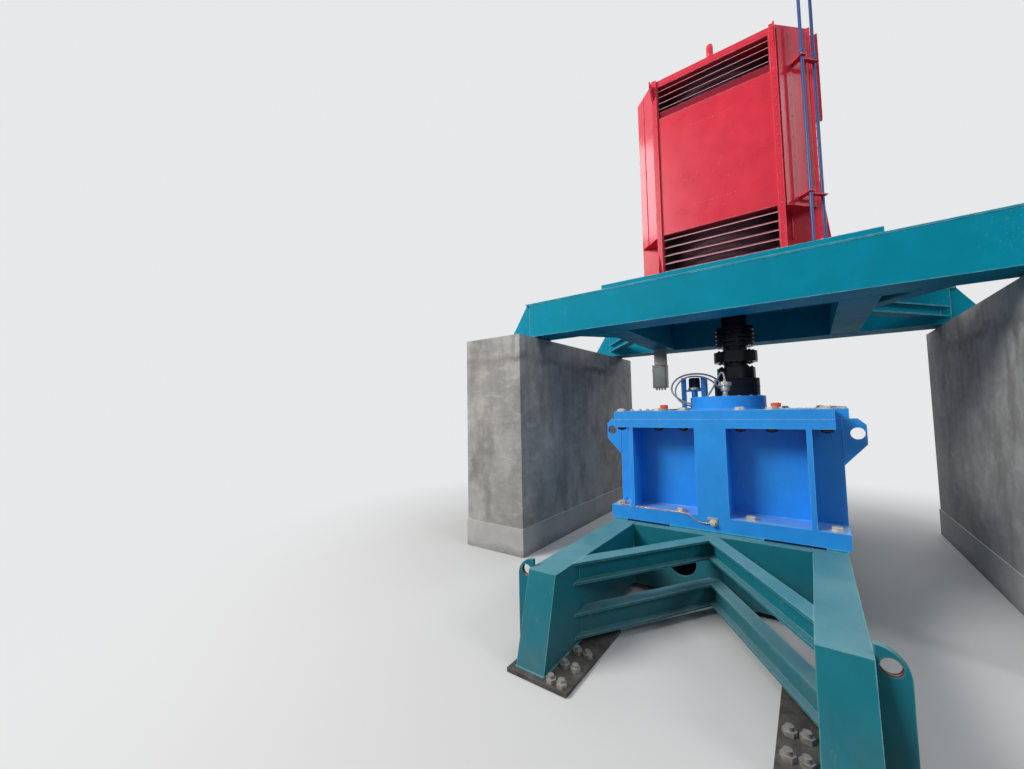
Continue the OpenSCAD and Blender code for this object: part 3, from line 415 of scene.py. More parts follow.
# Finishes of each material slot, the first of them the one that its CAD nodes usually have
FINISHES = {
    "concrete": [concrete_finish()],
    "bare_steel": [PLATE_STEEL, ANCHOR_STEEL, ZINC, STEEL, COPPER, BRASS, PRIMER],
    "teal_paint": [BEAM_PAINT, SHADED_BRACKET_PAINT],
    "blue_paint": [BLUE_PAINT, SHADED_BLUE, PIPE_PAINT],
    "red_paint": [RED_PAINT, SMOOTH_RED, SHADED_LOUVRE_PAINT, HIGHLIT_HEM_RED],
    "grey_fitting": [GREY_PAINT, SEALANT_AND_HIGHLIGHT, TUBE_GREY, ORANGE],
    "dark_steel": [turned_steel(), BLACK_NUTS],
    "core_black": [laminated_core(), BAFFLE_BLACK],
}
SLOT_OF = {finish: slot for slot, finishes in FINISHES.items() for finish in finishes}

# CAD nodes whose finish isn't their slot's usual one, by how their names start
OWN_FINISHES = {
    ("lower_girder", "lower_cross", "lower_brace", "bracket_lugs"): SHADED_BRACKET_PAINT,
    ("louvre",): SHADED_LOUVRE_PAINT,
    ("fast_bearing_housing",): SHADED_BLUE,
    ("corner_covers",): SMOOTH_RED,
    ("anchor_bolts",): ANCHOR_STEEL,
    ("oil_pipes",): PIPE_PAINT,
}

for part in frame["record"]["subparts"]:
    dressing = FINISHES[part["material_slot"]][0]
    for starts, own in OWN_FINISHES.items():
        if part["node"].startswith(starts):
            dressing = own
    skins = frame["nodes"][part["node"]].data.materials
    skins.clear()
    skins.append(dressing)

# Directions
UP = (0, 0, 1)
DOWN = (0, 0, -1)
FRONT = (0, -1, 0)
BACK = (0, 1, 0)
RIGHT = (1, 0, 0)
FACING_FRONT = (math.pi / 2, 0, 0)
SIDES = (-1, 1)
QUARTERS = [(side, end) for side in SIDES for end in SIDES]

# How a tube bends through its points
STRAIGHT, ROUND, SOFT = 2, 3, 4


# Modelling helpers
def deselect():
    if bpy.context.mode != "OBJECT":
        bpy.ops.object.mode_set(mode="OBJECT")
    bpy.ops.object.select_all(action="DESELECT")


def pick(*pieces):
    """Selects only these pieces, the first of them active."""
    deselect()
    for piece in pieces:
        piece.select_set(True)
    bpy.context.view_layer.objects.active = pieces[0]


def choose_faces(piece, wanted):
    """Leaves the piece in edit mode with the faces selected whose centre and normal are wanted."""
    if bpy.context.mode != "OBJECT":
        bpy.ops.object.mode_set(mode="OBJECT")
    mesh = piece.data
    mesh.vertices.foreach_set("select", [False] * len(mesh.vertices))
    mesh.edges.foreach_set("select", [False] * len(mesh.edges))
    mesh.polygons.foreach_set("select", [wanted(face.center, face.normal) for face in mesh.polygons])
    bpy.ops.object.mode_set(mode="EDIT")
    bpy.ops.mesh.select_mode(type="FACE")


def facing(direction, share=0.9):
    """Chooses the faces that look in a direction."""
    return lambda centre, normal: normal.dot(Vector(direction)) > share


def ends_along(direction):
    """Chooses the faces at both ends of a piece."""
    return lambda centre, normal: abs(normal.dot(Vector(direction))) > 0.9


def every_other_side(sides):
    """Chooses every other side face of a round piece."""
    def wanted(centre, normal):
        turn = math.atan2(normal.y, normal.x) % math.tau / math.tau
        return abs(normal.z) < 0.5 and int(turn * sides + 0.25) % 2 == 0
    return wanted


def bevel_faces(piece, wanted, width, segments=1):
    choose_faces(piece, wanted)
    bpy.ops.mesh.bevel(offset=width, segments=segments, affect="EDGES")


def finish_editing(piece, smooth=35):
    """Back to object mode, with the piece's place put into its mesh."""
    pick(piece)
    bpy.ops.object.transform_apply(location=True, rotation=True, scale=True)
    bpy.ops.object.shade_smooth_by_angle(angle=math.radians(smooth))
    return piece


def block(name, low, high, bevel=0.003):
    """A block with rounded edges between two corners."""
    deselect()
    low, high = Vector(low), Vector(high)
    bpy.ops.mesh.primitive_cube_add(size=1, location=(low + high) / 2)
    piece = bpy.context.object
    piece.name = name
    piece.scale = high - low
    bpy.ops.object.transform_apply(location=False, rotation=False, scale=True)
    bevel_faces(piece, lambda centre, normal: True, bevel, 2)
    return finish_editing(piece)


def door_leaf(low, high, bevel, outward, rim, lip, depth):
    """A door leaf with a sunk panel inside its rim."""
    door = block("door", low, high, bevel)
    choose_faces(door, facing(outward))
    bpy.ops.mesh.inset(thickness=rim)
    bpy.ops.mesh.inset(thickness=lip, depth=-depth)
    return finish_editing(door)


def blank(sides, radius, height, low=0.0):
    """The plain start of a round or many-sided piece, upright on the axis."""
    deselect()
    bpy.ops.mesh.primitive_cylinder_add(
        vertices=sides, radius=radius, depth=height, location=(0, 0, low + height / 2))
    return bpy.context.object


def drum(name, place, radius, height, bevel=0.003, sides=48, ribs=0.0, rotation=(0, 0, 0)):
    """A round piece that stands on its place, with rounded rims, and grooved sides where ribs are asked."""
    piece = blank(sides, radius, height)
    piece.name = name
    if ribs:
        choose_faces(piece, every_other_side(sides))
        bpy.ops.mesh.inset(thickness=ribs * 0.4, depth=-ribs)
    bevel_faces(piece, ends_along(UP), bevel, 2)
    finish_editing(piece)
    piece.rotation_euler = rotation
    piece.location = place
    return finish_editing(piece)


def drum_stack(place, *drums):
    """Round pieces on one upright axis: the name, rise, radius, height, bevel, sides and ribs of each."""
    x, y, z = place
    return [drum(name, (x, y, z + rise), *size) for name, rise, *size in drums]


def bent_route(points, bend):
    """Points that keep a route straight between its corners and round at them."""
    points = [Vector(point) for point in points]
    route = [points[0]]
    for before, corner, after in zip(points, points[1:], points[2:]):
        route += [
            corner + (before - corner).normalized() * bend, corner, corner + (after - corner).normalized() * bend]
    return route + [points[-1]]


def tube(name, route, radius, rounding=2, order=ROUND, ripple=0.0):
    """A solid round bar along a route, made as a path and turned into a mesh."""
    deselect()
    bpy.ops.curve.primitive_nurbs_path_add()
    path = bpy.context.object
    spline = path.data.splines[0]
    while len(route) < len(spline.points):
        route = [route[0], (Vector(route[0]) + Vector(route[1])) / 2, *route[1:]]
    spline.points.add(len(route) - len(spline.points))
    for index, (point, place) in enumerate(zip(spline.points, route)):
        point.co = (*place, 1)
        point.radius = 1 + ripple * (-1) ** index
    spline.order_u = order
    spline.use_endpoint_u = True
    spline.resolution_u = 1 if order == STRAIGHT else 4
    path.data.bevel_depth = radius
    path.data.bevel_resolution = rounding
    path.data.use_fill_caps = True
    bpy.ops.object.convert(target="MESH")
    piece = bpy.context.object
    piece.name = name
    return finish_editing(piece, 50)


def bar_handle(place, half, foot, reach, bend, radius):
    """A bent bar handle; place(offset, depth) gives a point by the surface that carries it."""
    route = [place(-half, foot), place(-half, reach), place(half, reach), place(half, foot)]
    return tube("bar", bent_route(route, bend), radius, 3)


def joined(name, pieces):
    pick(*pieces)
    if len(pieces) > 1:
        bpy.ops.object.join()
    whole = bpy.context.view_layer.objects.active
    whole.name = name
    whole.data.name = name
    return whole


def fit(name, pieces, finish, body="root"):
    """Makes one named piece of its parts, with its finish and the body that it rides on."""
    piece = joined(name, pieces)
    piece.data.materials.clear()
    piece.data.materials.append(finish)
    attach(piece, body)
    return piece


def hex_bolt(radius, head, washer=0.004, stud=0.0):
    """A hexagon head on its washer, with the end of a stud above it where there is one."""
    parts = [finish_editing(blank(18, radius * 1.35, washer)), blank(6, radius, head, washer)]
    bevel_faces(parts[1], facing(UP), radius * 0.14)
    finish_editing(parts[1], 20)
    if stud:
        parts.append(blank(12, radius * 0.52, stud, washer + head))
        bevel_faces(parts[2], facing(UP), radius * 0.1)
        finish_editing(parts[2])
    return joined("bolt_pattern", parts)


def socket_screw(radius, height):
    """A low round head with a sunk round socket."""
    screw = blank(12, radius, height)
    bevel_faces(screw, facing(UP), radius * 0.12)
    choose_faces(screw, facing(UP, 0.99))
    bpy.ops.mesh.inset(thickness=radius * 0.4)
    bpy.ops.mesh.inset(thickness=radius * 0.02, depth=-height * 0.6)
    return finish_editing(screw, 30)


def weld_dimple(radius, height):
    """A low round mark that a plug weld leaves on a plate."""
    deselect()
    bpy.ops.mesh.primitive_uv_sphere_add(segments=10, ring_count=6, radius=radius)
    dimple = bpy.context.object
    dimple.scale = (1, 1, height / radius)
    choose_faces(dimple, lambda centre, normal: centre.z < -radius * 0.3)
    bpy.ops.mesh.delete(type="FACE")
    bpy.ops.mesh.select_all(action="SELECT")
    bpy.ops.mesh.select_mode(type="EDGE")
    bpy.ops.mesh.region_to_loop()
    bpy.ops.mesh.edge_face_add()
    return finish_editing(dimple, 60)


def repeat(name, pattern, places, finish, body="root"):
    """Copies of one small piece, each with its own mesh, at (place, direction) pairs, made one piece."""
    copies = []
    for index, (place, direction) in enumerate(places):
        copy = pattern.copy()
        copy.data = pattern.data.copy()
        bpy.context.scene.collection.objects.link(copy)
        stand = Vector(direction).to_track_quat("Z", "Y").to_matrix().to_4x4()
        twist = Matrix.Rotation(0.7 * index, 4, "Z")
        copy.data.transform(Matrix.Translation(place) @ stand @ twist)
        copies.append(copy)
    bpy.data.objects.remove(pattern)
    return fit(name, copies, finish, body)


def bead(start, end, spans, radius, ripple):
    """A rippled bar between two points."""
    start, end = Vector(start), Vector(end)
    route = [start.lerp(end, i / spans) for i in range(spans + 1)]
    return tube("bead", route, radius, 1, STRAIGHT, ripple)


# Length of a weld bead's ripple, and its share of the bead's thickness
RIPPLE_LENGTH = 0.028
RIPPLE_SHARE = 0.17


def weld_beads(name, lines, finish, radius):
    """Rippled weld beads along straight joints."""
    beads = []
    for start, end in lines:
        spans = max(5, round((Vector(end) - Vector(start)).length / RIPPLE_LENGTH))
        beads.append(bead(start, end, spans, radius, RIPPLE_SHARE))
    return fit(name, beads, finish)


def upright(x, y, low, high):
    return (x, y, low), (x, y, high)


def across(start, end, y, z):
    return (start, y, z), (end, y, z)


def lengthwise(x, start, end, z):
    return (x, start, z), (x, end, z)


def steps(low, high, count):
    return [low + (high - low) * i / (count - 1) for i in range(count)]


def grid(xs, ys, zs, direction=UP):
    """Every pairing of the given x, y and z, with the direction of the bolt there."""
    return [(Vector((x, y, z)), direction) for x in xs for y in ys for z in zs]


def on_ring(centre, radius, height, count, direction=UP, start=0.0):
    """Places on a level ring, with the direction of the bolt there."""
    places = []
    for i in range(count):
        turn = start + math.tau * i / count
        x, y = centre[0] + radius * math.cos(turn), centre[1] + radius * math.sin(turn)
        places.append((Vector((x, y, height)), direction))
    return places


# The casing's four faces and four corners, numbered by quarter turns from the front and the front right
front_low, front_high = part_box("panel_front")
base_low, base_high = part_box("generator_base")
FACES = ("front", "right", "back", "left")
CENTRE = Vector((AXIS_X, AXIS_Y, 0))
GEN_HALF = (base_high.x - base_low.x) / 2
FLAT_HALF = (front_high.x - front_low.x) / 2
STRIP_D = AXIS_Y - GEN_HALF - front_low.y
LEFT_STRIP_D = AXIS_X - GEN_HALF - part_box("panel_left")[0].x
STRIP_MID = FLAT_HALF - 0.025


def quarter_turns(count):
    return Matrix.Rotation(math.radians(90 * count), 4, "Z")


def face_place(turn, along, out, z):
    return quarter_turns(turn) @ Vector((along, -GEN_HALF - out, z)) + CENTRE


def on_face(turn, along, out, z):
    """A place on a face, with the direction that the face looks in."""
    return face_place(turn, along, out, z), quarter_turns(turn) @ Vector(FRONT)


def corner_place(turn, along, out, z):
    middle = GEN_HALF - (GEN_HALF - FLAT_HALF) / 2
    half_root = math.sqrt(0.5)
    local = Vector((middle + (along + out) * half_root, -middle + (along - out) * half_root, z))
    return quarter_turns(turn) @ local + CENTRE


def on_corner(turn, along, out, z):
    """A place on a corner's slanting face, with the direction that it looks in."""
    return corner_place(turn, along, out, z), quarter_turns(turn + 0.5) @ Vector(FRONT)


# Lower bracket: the welds that join its plates, and the primed liners of its lug holes
SOLE_TOP = 0.027
BRACE_DEPTH = 0.145
LOW_BRACE = (0.062, 0.227)
FLANGE_T = 0.016
FLANGE_YS = (2.07, 2.19)
BRACE_WEB_YS = (2.12, 2.14)
LUG_FACE_YS = (2.384, 2.416)
FOOT_START = 1.9
LUG_HOLE_X, LUG_Y, LUG_HOLE_Z = 0.90175, 2.4, 0.5268
LINER_RADIUS, LINER_LENGTH = 0.0381, 0.0304


def finish_lower_bracket():
    girder_low, girder_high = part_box("lower_girder_right")
    cross_low, cross_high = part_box("lower_cross_back")
    inner, outer, top = girder_low.x, girder_high.x, girder_high.z
    web_y = cross_high.y - 0.008
    lines = []
    for side, end in QUARTERS:
        x, foot_end = side * inner, end * girder_high.y
        lines += [upright(x, end * (web_y + out), 0.07, top - 0.02) for out in (0.01, -0.01)]
        lines.append(lengthwise(x, end * cross_low.y, end * cross_high.y, top - 0.001))
        for low, high in (LOW_BRACE, (top - BRACE_DEPTH, top)):
            for z in (low + FLANGE_T, high - FLANGE_T):
                lines.append(lengthwise(x, end * FLANGE_YS[0], end * FLANGE_YS[1], z))
            lines += [upright(x, end * y, low + 0.02, high - 0.02) for y in BRACE_WEB_YS]
            lines.append(upright(0, end * (web_y + 0.01), low + 0.02, high - 0.02))
        lines += [upright(side * outer, end * y, 0.03, 0.48) for y in LUG_FACE_YS]
        lines += [lengthwise(side * edge, end * FOOT_START, foot_end, SOLE_TOP) for edge in (inner, outer)]
        lines.append(across(x, side * outer, foot_end, SOLE_TOP))
    weld_beads("bracket_welds", lines, SHADED_BRACKET_PAINT, 0.0065)
    liners = []
    for side, end in QUARTERS:
        place = (side * LUG_HOLE_X, end * LUG_Y + LINER_LENGTH / 2, LUG_HOLE_Z)
        liner = drum("liner", place, LINER_RADIUS, LINER_LENGTH, 0.001, 32, rotation=FACING_FRONT)
        liners.append(liner)
    for liner in liners:
        choose_faces(liner, ends_along(BACK))
        bpy.ops.mesh.delete(type="FACE")
        pick(liner)
        wall = liner.modifiers.new("wall", "SOLIDIFY")
        wall.thickness = 0.002
        wall.offset = -1
        bpy.ops.object.modifier_apply(modifier=wall.name)
    fit("lug_hole_primer", liners, PRIMER)


# Gearbox: bolts through the cover, the case's foot and its bearing caps, and the fittings on it
cover_low, cover_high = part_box("gearbox_cover")
case_low, case_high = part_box("gearbox_case")
COVER_TOP = cover_high.z
SPLIT_UNDERSIDE = cover_low.z - 0.073
FOOT_TOP = case_low.z + 0.114
BOLT_ROW = 0.075
SIDE_ROW = 0.022
COVER_XS = (-0.78, -0.435, -0.22, 0.22, 0.435, 0.78)
FOOT_XS = (-0.8, -0.266, 0.266, 0.8)


def bolt_gearbox():
    rows = (cover_low.y + BOLT_ROW, cover_high.y - BOLT_ROW)
    under = grid(COVER_XS, rows, [SPLIT_UNDERSIDE], DOWN)
    ends = (SIDE_ROW - cover_high.x, cover_high.x - SIDE_ROW)
    feet = grid(FOOT_XS, (case_low.y + BOLT_ROW, case_high.y - BOLT_ROW), [FOOT_TOP])
    repeat("cover_bolts", hex_bolt(0.038, 0.02, 0.005), grid(COVER_XS, rows, [COVER_TOP]), ZINC)
    repeat("cover_nuts", hex_bolt(0.04, 0.02, 0.004, 0.006), under, BLACK_NUTS)
    repeat("cover_side_bolts", hex_bolt(0.017, 0.013), grid(ends, steps(-0.6, 1.0, 7), [COVER_TOP]), ZINC)
    repeat("base_flange_bolts", hex_bolt(0.038, 0.026, 0.005), feet, ZINC)


def bolt_bearing_caps():
    slow_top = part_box("slow_bearing_cap")[1].z
    fast_low, fast_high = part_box("fast_bearing_housing")
    cap_ring = on_ring((0, 0), 0.3, slow_top, 16, start=0.1)
    foot_ring = on_ring(AXIS, 0.266, fast_low.z + 0.03, 16)
    seal_ring = on_ring(AXIS, 0.2205, fast_high.z, 12)
    repeat("slow_cap_screws", socket_screw(0.016, 0.006), cap_ring, BLUE_PAINT)
    repeat("fast_housing_bolts", hex_bolt(0.015, 0.012), foot_ring, BLACK_NUTS)
    repeat("seal_ring_screws", socket_screw(0.008, 0.006), seal_ring, BLACK_NUTS)
    bands = [("band", rise, 0.239, 0.014, 0.003, 64) for rise in (0.12, 0.25)]
    fit("housing_bands", drum_stack((*AXIS, fast_low.z), *bands), SHADED_BLUE)


WALL_YS = (-0.731, 1.131)
WALL_EDGES = (-0.6525, -0.12, 0.12, 0.6525)
BAYS = ((-0.65, -0.12), (0.12, 0.65))
CASE_LUG_X = 0.875
CASE_LUG_YS = (-0.731, -0.669, 1.069, 1.131)
CASE_LUG_ZS = (1.15, 1.41)
SEAM_X, SEAM_END_X = 0.826, 0.9205
SEAM_END_YS = (-0.73, 1.13)


def weld_gearbox():
    """The case's welds, and a bead along the joint under the cover: pressed-out sealant whose pale blue also
    paints the highlight the seam catches.
    """
    lines = []
    for y in WALL_YS:
        lines += [upright(x, y, FOOT_TOP, SPLIT_UNDERSIDE) for x in WALL_EDGES]
        lines += [across(*bay, y, FOOT_TOP) for bay in BAYS]
    for side in SIDES:
        lines += [upright(side * CASE_LUG_X, y, *CASE_LUG_ZS) for y in CASE_LUG_YS]
    weld_beads("gearbox_welds", lines, BLUE_PAINT, 0.005)
    seams = [across(-SEAM_X, SEAM_X, y, cover_low.z) for y in (case_low.y - 0.0005, case_high.y + 0.0005)]
    seams += [lengthwise(side * SEAM_END_X, *SEAM_END_YS, cover_low.z) for side in SIDES]
    fit("joint_sealant_and_highlight", [bead(*seam, 29, 0.0014, 0.3) for seam in seams], SEALANT_AND_HIGHLIGHT)


SENSOR_X = -0.02


def make_level_sensor():
    """A level sensor on the turbine shaft's cap, for the plain fittings of the CAD."""
    parts = drum_stack(
        (SENSOR_X, 0.0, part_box("slow_bearing_cap")[1].z),
        ("nut", 0.0, 0.034, 0.018, 0.002, 6),
        ("stem", 0.017, 0.023, 0.045, 0.002, 32),
        ("body", 0.06, 0.04, 0.055, 0.004, 40),
        ("ring", 0.108, 0.044, 0.01, 0.002, 40),
        ("cap", 0.115, 0.06, 0.038, 0.003, 36, 0.003),
        ("nub", 0.152, 0.025, 0.013, 0.003, 24))
    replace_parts(fit("level_sensor", parts, STEEL), "gearbox_fittings")


BREATHER_XS = (-0.487, 0.449)


def make_breathers():
    """Two breathers on the cover, each an orange lobed cap on a steel neck."""
    caps, necks = [], []
    for x in BREATHER_XS:
        place = (x, -0.56, COVER_TOP)
        necks += drum_stack(place, ("neck", 0.0, 0.03, 0.02, 0.002, 6))
        caps += drum_stack(
            place, ("cap", 0.018, 0.038, 0.035, 0.005, 24, 0.003), ("crown", 0.05, 0.026, 0.006, 0.002, 24))
    fit("breather_necks", necks, STEEL)
    fit("breather_caps", caps, ORANGE)


def make_drain_plug():
    front, z = case_low.y, case_low.z + 0.068
    parts = [
        drum("boss", (0, front, z), 0.03, 0.01, 0.002, 40, rotation=FACING_FRONT),
        drum("head", (0, front - 0.009, z), 0.022, 0.03, 0.003, 6, rotation=FACING_FRONT),
    ]
    fit("drain_plug", parts, ZINC)
    pad = block("pad", (-0.045, front - 0.006, 0.66), (0.035, front, 0.688), 0.002)
    fit("drain_pad", [pad], GREY_PAINT)


PUMP_X, PUMP_Y = -0.4225, 0.5


def make_oil_pump():
    """The oil pump on the cover: two uprights, a finned motor, a bolted flange and the pump under it."""
    z = COVER_TOP
    axis = (PUMP_X, PUMP_Y, z)
    stand = [
        block("foot", (PUMP_X - 0.1375, 0.44, z), (PUMP_X + 0.1375, 0.56, z + 0.022), 0.004),
        block("bridge", (PUMP_X - 0.13, 0.455, z + 0.215), (PUMP_X + 0.13, 0.545, z + 0.235)),
    ]
    stand += drum_stack(axis, ("pump", 0.02, 0.05, 0.12, 0.006, 40), ("neck", 0.138, 0.034, 0.08, 0.003, 32))
    for side in SIDES:
        x = PUMP_X + side * 0.1095
        stand += [
            block("upright", (x - 0.028, 0.445, z + 0.01), (x + 0.028, 0.46, z + 0.381)),
            block("web", (x + side * 0.016, 0.447, z + 0.01), (x + side * 0.028, 0.55, z + 0.36)),
        ]
    fit("oil_pump", stand, BLUE_PAINT)
    motor = drum_stack(
        axis, ("motor", 0.262, 0.062, 0.1, 0.004, 36, 0.005), ("fan_cover", 0.358, 0.058, 0.02, 0.008, 36))
    fit("pump_motor", motor, SHADED_BLUE)
    flange = drum_stack(
        axis, ("flange", 0.232, 0.072, 0.018, 0.003, 48), ("flange_ring", 0.246, 0.064, 0.018, 0.003, 48))
    repeat("pump_bolts", hex_bolt(0.007, 0.006, 0.002), on_ring((PUMP_X, PUMP_Y), 0.0665, z + 0.25, 6), ZINC)
    fit("pump_flange", flange, STEEL)


# Routes of the tubes: x, y and the rise above the cover
PUMP_LOOPS = (
    ((-0.4, 0.475, 0.06), (-0.43, 0.4, 0.06), (-0.52, 0.36, 0.09), (-0.635, 0.36, 0.17),
     (-0.665, 0.36, 0.27), (-0.6, 0.37, 0.375), (-0.47, 0.39, 0.425), (-0.3, 0.43, 0.42),
     (-0.19, 0.47, 0.37), (-0.14, 0.495, 0.31), (-0.11, 0.53, 0.29)),
    ((-0.445, 0.475, 0.04), (-0.48, 0.38, 0.045), (-0.56, 0.33, 0.09), (-0.605, 0.33, 0.18),
     (-0.6, 0.33, 0.27), (-0.53, 0.35, 0.365), (-0.42, 0.38, 0.4), (-0.27, 0.42, 0.375),
     (-0.185, 0.46, 0.3), (-0.155, 0.48, 0.24), (-0.12, 0.52, 0.225)),
    ((-0.4, 0.46, 0.03), (-0.36, 0.36, 0.045), (-0.28, 0.3, 0.11), (-0.2, 0.24, 0.19),
     (-0.13, 0.16, 0.3), (-0.075, 0.08, 0.385), (-0.035, 0.015, 0.395), (SENSOR_X, 0.0, 0.355),
     (SENSOR_X, 0.0, 0.29)),
)
COVER_ROUTES = (
    ((-0.487, -0.52, 0.006), (-0.52, -0.45, 0.006), (-0.66, -0.4, 0.006), (-0.72, -0.1, 0.006),
     (-0.6, 0.3, 0.006), (-0.55, 0.47, 0.006)),
    ((0.449, -0.52, 0.006), (0.42, -0.44, 0.006), (0.36, -0.3, 0.006), (0.34, 0.0, 0.006), (0.3, 0.3, 0.006)),
)
# x, the reach behind the case's front edge and the rise above its foot
DRAIN_RUN = (
    (-0.835, -0.002, 0.02), (-0.72, 0.006, 0.008), (-0.61, 0.012, 0.005), (-0.5, 0.004, 0.005),
    (-0.41, 0.016, 0.005), (-0.29, 0.004, 0.006), (-0.2, -0.003, 0.002), (-0.16, -0.006, -0.02),
    (-0.12, -0.008, -0.052), (-0.06, -0.012, -0.058), (-0.02, -0.018, -0.046))


def on_cover(route):
    return [(x, y, COVER_TOP + rise) for x, y, rise in route]


def make_oil_tubes():
    """Bent tubes from the pump to the bearing housing and the level sensor, and the thin tubes on the cover."""
    loops = [tube("tube", on_cover(route), 0.01, 2, SOFT) for route in PUMP_LOOPS]
    fit("oil_tubes", loops, TUBE_GREY)
    unions = [
        drum("union", (x, 0.478, COVER_TOP + rise), 0.015, 0.026, 0.002, 6, rotation=FACING_FRONT)
        for x, rise in ((-0.4, 0.06), (-0.445, 0.04))]
    unions += drum_stack((SENSOR_X, 0, COVER_TOP), ("union", 0.294, 0.014, 0.022, 0.002, 6))
    fit("tube_unions", unions, BRASS)
    thin = [tube("tube", bent_route(on_cover(route), 0.03), 0.005) for route in COVER_ROUTES]
    fit("cover_tubes", thin, BRASS)
    run = [(-0.835, -0.6, FOOT_TOP + 0.005)]
    run += [(x, case_low.y + reach, FOOT_TOP + rise) for x, reach, rise in DRAIN_RUN]
    fit("drain_tube", [tube("tube", run, 0.0045)], COPPER)


def make_cover_plate():
    """A bare plate with four screws at the cover's front right corner."""
    top = COVER_TOP + 0.006
    plate = block("plate", (0.64, -0.9, COVER_TOP), (0.742, -0.82, top), 0.001)
    fit("cover_plate", [plate], GREY_PAINT)
    repeat("cover_plate_screws", socket_screw(0.005, 0.003), grid((0.652, 0.73), (-0.888, -0.832), [top]), ZINC)


# Shaft line: the coupling's bolts turn with it
def bolt_coupling():
    flex_low, flex_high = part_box("coupling_flexible")
    places = on_ring(AXIS, 0.165, flex_low.z - 0.253, 10) + on_ring(AXIS, 0.165, flex_low.z - 0.185, 10, DOWN)
    places += on_ring(AXIS, 0.18, flex_low.z - 0.063, 12)
    repeat("coupling_bolts", hex_bolt(0.016, 0.013, 0.003, 0.006), places, BLACK_NUTS, "shaft")
    length = flex_high.z - flex_low.z + 0.012
    ring = on_ring(AXIS, 0.172, flex_low.z - 0.006, 10)
    pins = [drum("pin", place, 0.011, length, 0.002, 10) for place, _ in ring]
    fit("disc_pins", pins, BLACK_NUTS, "shaft")


# Upper bracket: bolts of its feet and its seat, and the welds between its beams
FOOT_BOLT_XS = (-2.06, -2.19, 2.06, 2.19)
FOOT_PLATE_T = 0.016
SEAT_EDGE = 0.06
END_WELD_X = 1.99
SEAT_BOLT = (0.018, 0.014)


def finish_upper_bracket():
    seat_low, seat_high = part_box("seat_frame")
    beam_low, beam_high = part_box("upper_beam_front")
    back_low, back_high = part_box("upper_beam_back")
    side_low, side_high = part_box("upper_side_right")
    middles = ((beam_low.y + beam_high.y) / 2, (back_low.y + back_high.y) / 2)
    foot_ys = [middle + out for middle in middles for out in (-0.075, 0.075)]
    feet = grid(FOOT_BOLT_XS, foot_ys, [beam_low.z + FOOT_PLATE_T])
    repeat("beam_foot_bolts", hex_bolt(0.026, 0.02, 0.005, 0.014), feet, ZINC)
    left, right = seat_low.x + SEAT_EDGE, seat_high.x - SEAT_EDGE
    rows = grid(steps(left, right, 8), (seat_low.y + SEAT_EDGE, seat_high.y - SEAT_EDGE), [seat_high.z])
    rows += grid((left, right), steps(-0.05, 1.45, 4), [seat_high.z])
    repeat("seat_bolts", hex_bolt(*SEAT_BOLT), rows, ZINC)
    holds = [
        (face_place(turn, along, 0.055, seat_high.z), UP) for turn in range(4) for along in steps(-0.44, 0.44, 5)]
    repeat("hold_down_bolts", hex_bolt(0.022, 0.018, 0.01, 0.01), holds, ZINC)
    guide = on_ring(AXIS, 0.295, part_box("lower_guide_bearing")[0].z, 16, DOWN)
    repeat("guide_bearing_bolts", hex_bolt(*SEAT_BOLT), guide, BLACK_NUTS)
    lines = []
    low_z, high_z = beam_low.z + 0.02, beam_high.z - 0.02
    inner_of = {-1: beam_high.y - 0.005, 1: back_low.y + 0.005}
    for end, inner in inner_of.items():
        for side in SIDES:
            start, stop = side * side_low.x, side * side_high.x
            lines += [upright(x, inner, low_z, beam_high.z - 0.03) for x in (start, stop)]
            lines.append(across(start, stop, inner, beam_low.z))
            lines.append(upright(side * END_WELD_X, inner + end * 0.04, low_z, high_z))
    lines += [across(seat_low.x, seat_high.x, y, seat_low.z) for y in (seat_low.y, seat_high.y)]
    lines += [lengthwise(x, seat_low.y, seat_high.y, seat_low.z) for x in (seat_low.x, seat_high.x)]
    weld_beads("beam_welds", lines, BEAM_PAINT, 0.0055)
    foot_lines = []
    for turn in range(4):
        foot_lines.append([face_place(turn, along, 0.002, seat_high.z) for along in (-0.59, 0.59)])
        foot_lines.append([corner_place(turn, along, 0.002, seat_high.z) for along in (-0.17, 0.17)])
    weld_beads("casing_foot_weld", foot_lines, RED_PAINT, 0.006)


SMALL_BOLT = (0.009, 0.007, 0.002)
BOX_HEIGHT = 0.33


def finish_control_box():
    """The hung box's door with its hinges and roof lip, its lock, its cable glands and its hanger's bolts."""
    low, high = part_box("junction_box")
    front, bottom, top = low.y, low.z, low.z + BOX_HEIGHT
    door_low = (low.x + 0.008, front - 0.01, bottom + 0.01)
    door_high = (high.x - 0.008, front + 0.001, top - 0.01)
    roof_low = (low.x - 0.006, front - 0.014, top - 0.002)
    roof_high = (high.x + 0.006, high.y - 0.021, top + 0.006)
    parts = [
        door_leaf(door_low, door_high, 0.003, FRONT, 0.014, 0.002, 0.002),
        block("roof", roof_low, roof_high, 0.002),
    ]
    for z in (bottom + 0.05, top - 0.09):
        parts.append(drum("hinge", (low.x + 0.006, front - 0.008, z), 0.006, 0.036, 0.001, 16))
    fit("control_box_door", parts, GREY_PAINT)
    middle = (high.x - 0.03, front - 0.008, (bottom + top) / 2)
    fit("control_box_lock", [drum("lock", middle, 0.01, 0.012, 0.002, 20, rotation=FACING_FRONT)], STEEL)
    glands = [
        drum("gland", (x, front + 0.04, bottom - 0.03), 0.013, 0.03, 0.003, 12, 0.001)
        for x in steps(low.x + 0.04, high.x - 0.04, 4)]
    fit("control_box_glands", glands, GREY_PAINT)
    places = grid((low.x + 0.04, high.x - 0.04), [high.y - 0.02], (2.26, 2.44), FRONT)
    repeat("hanger_bolts", hex_bolt(*SMALL_BOLT), places, ZINC)


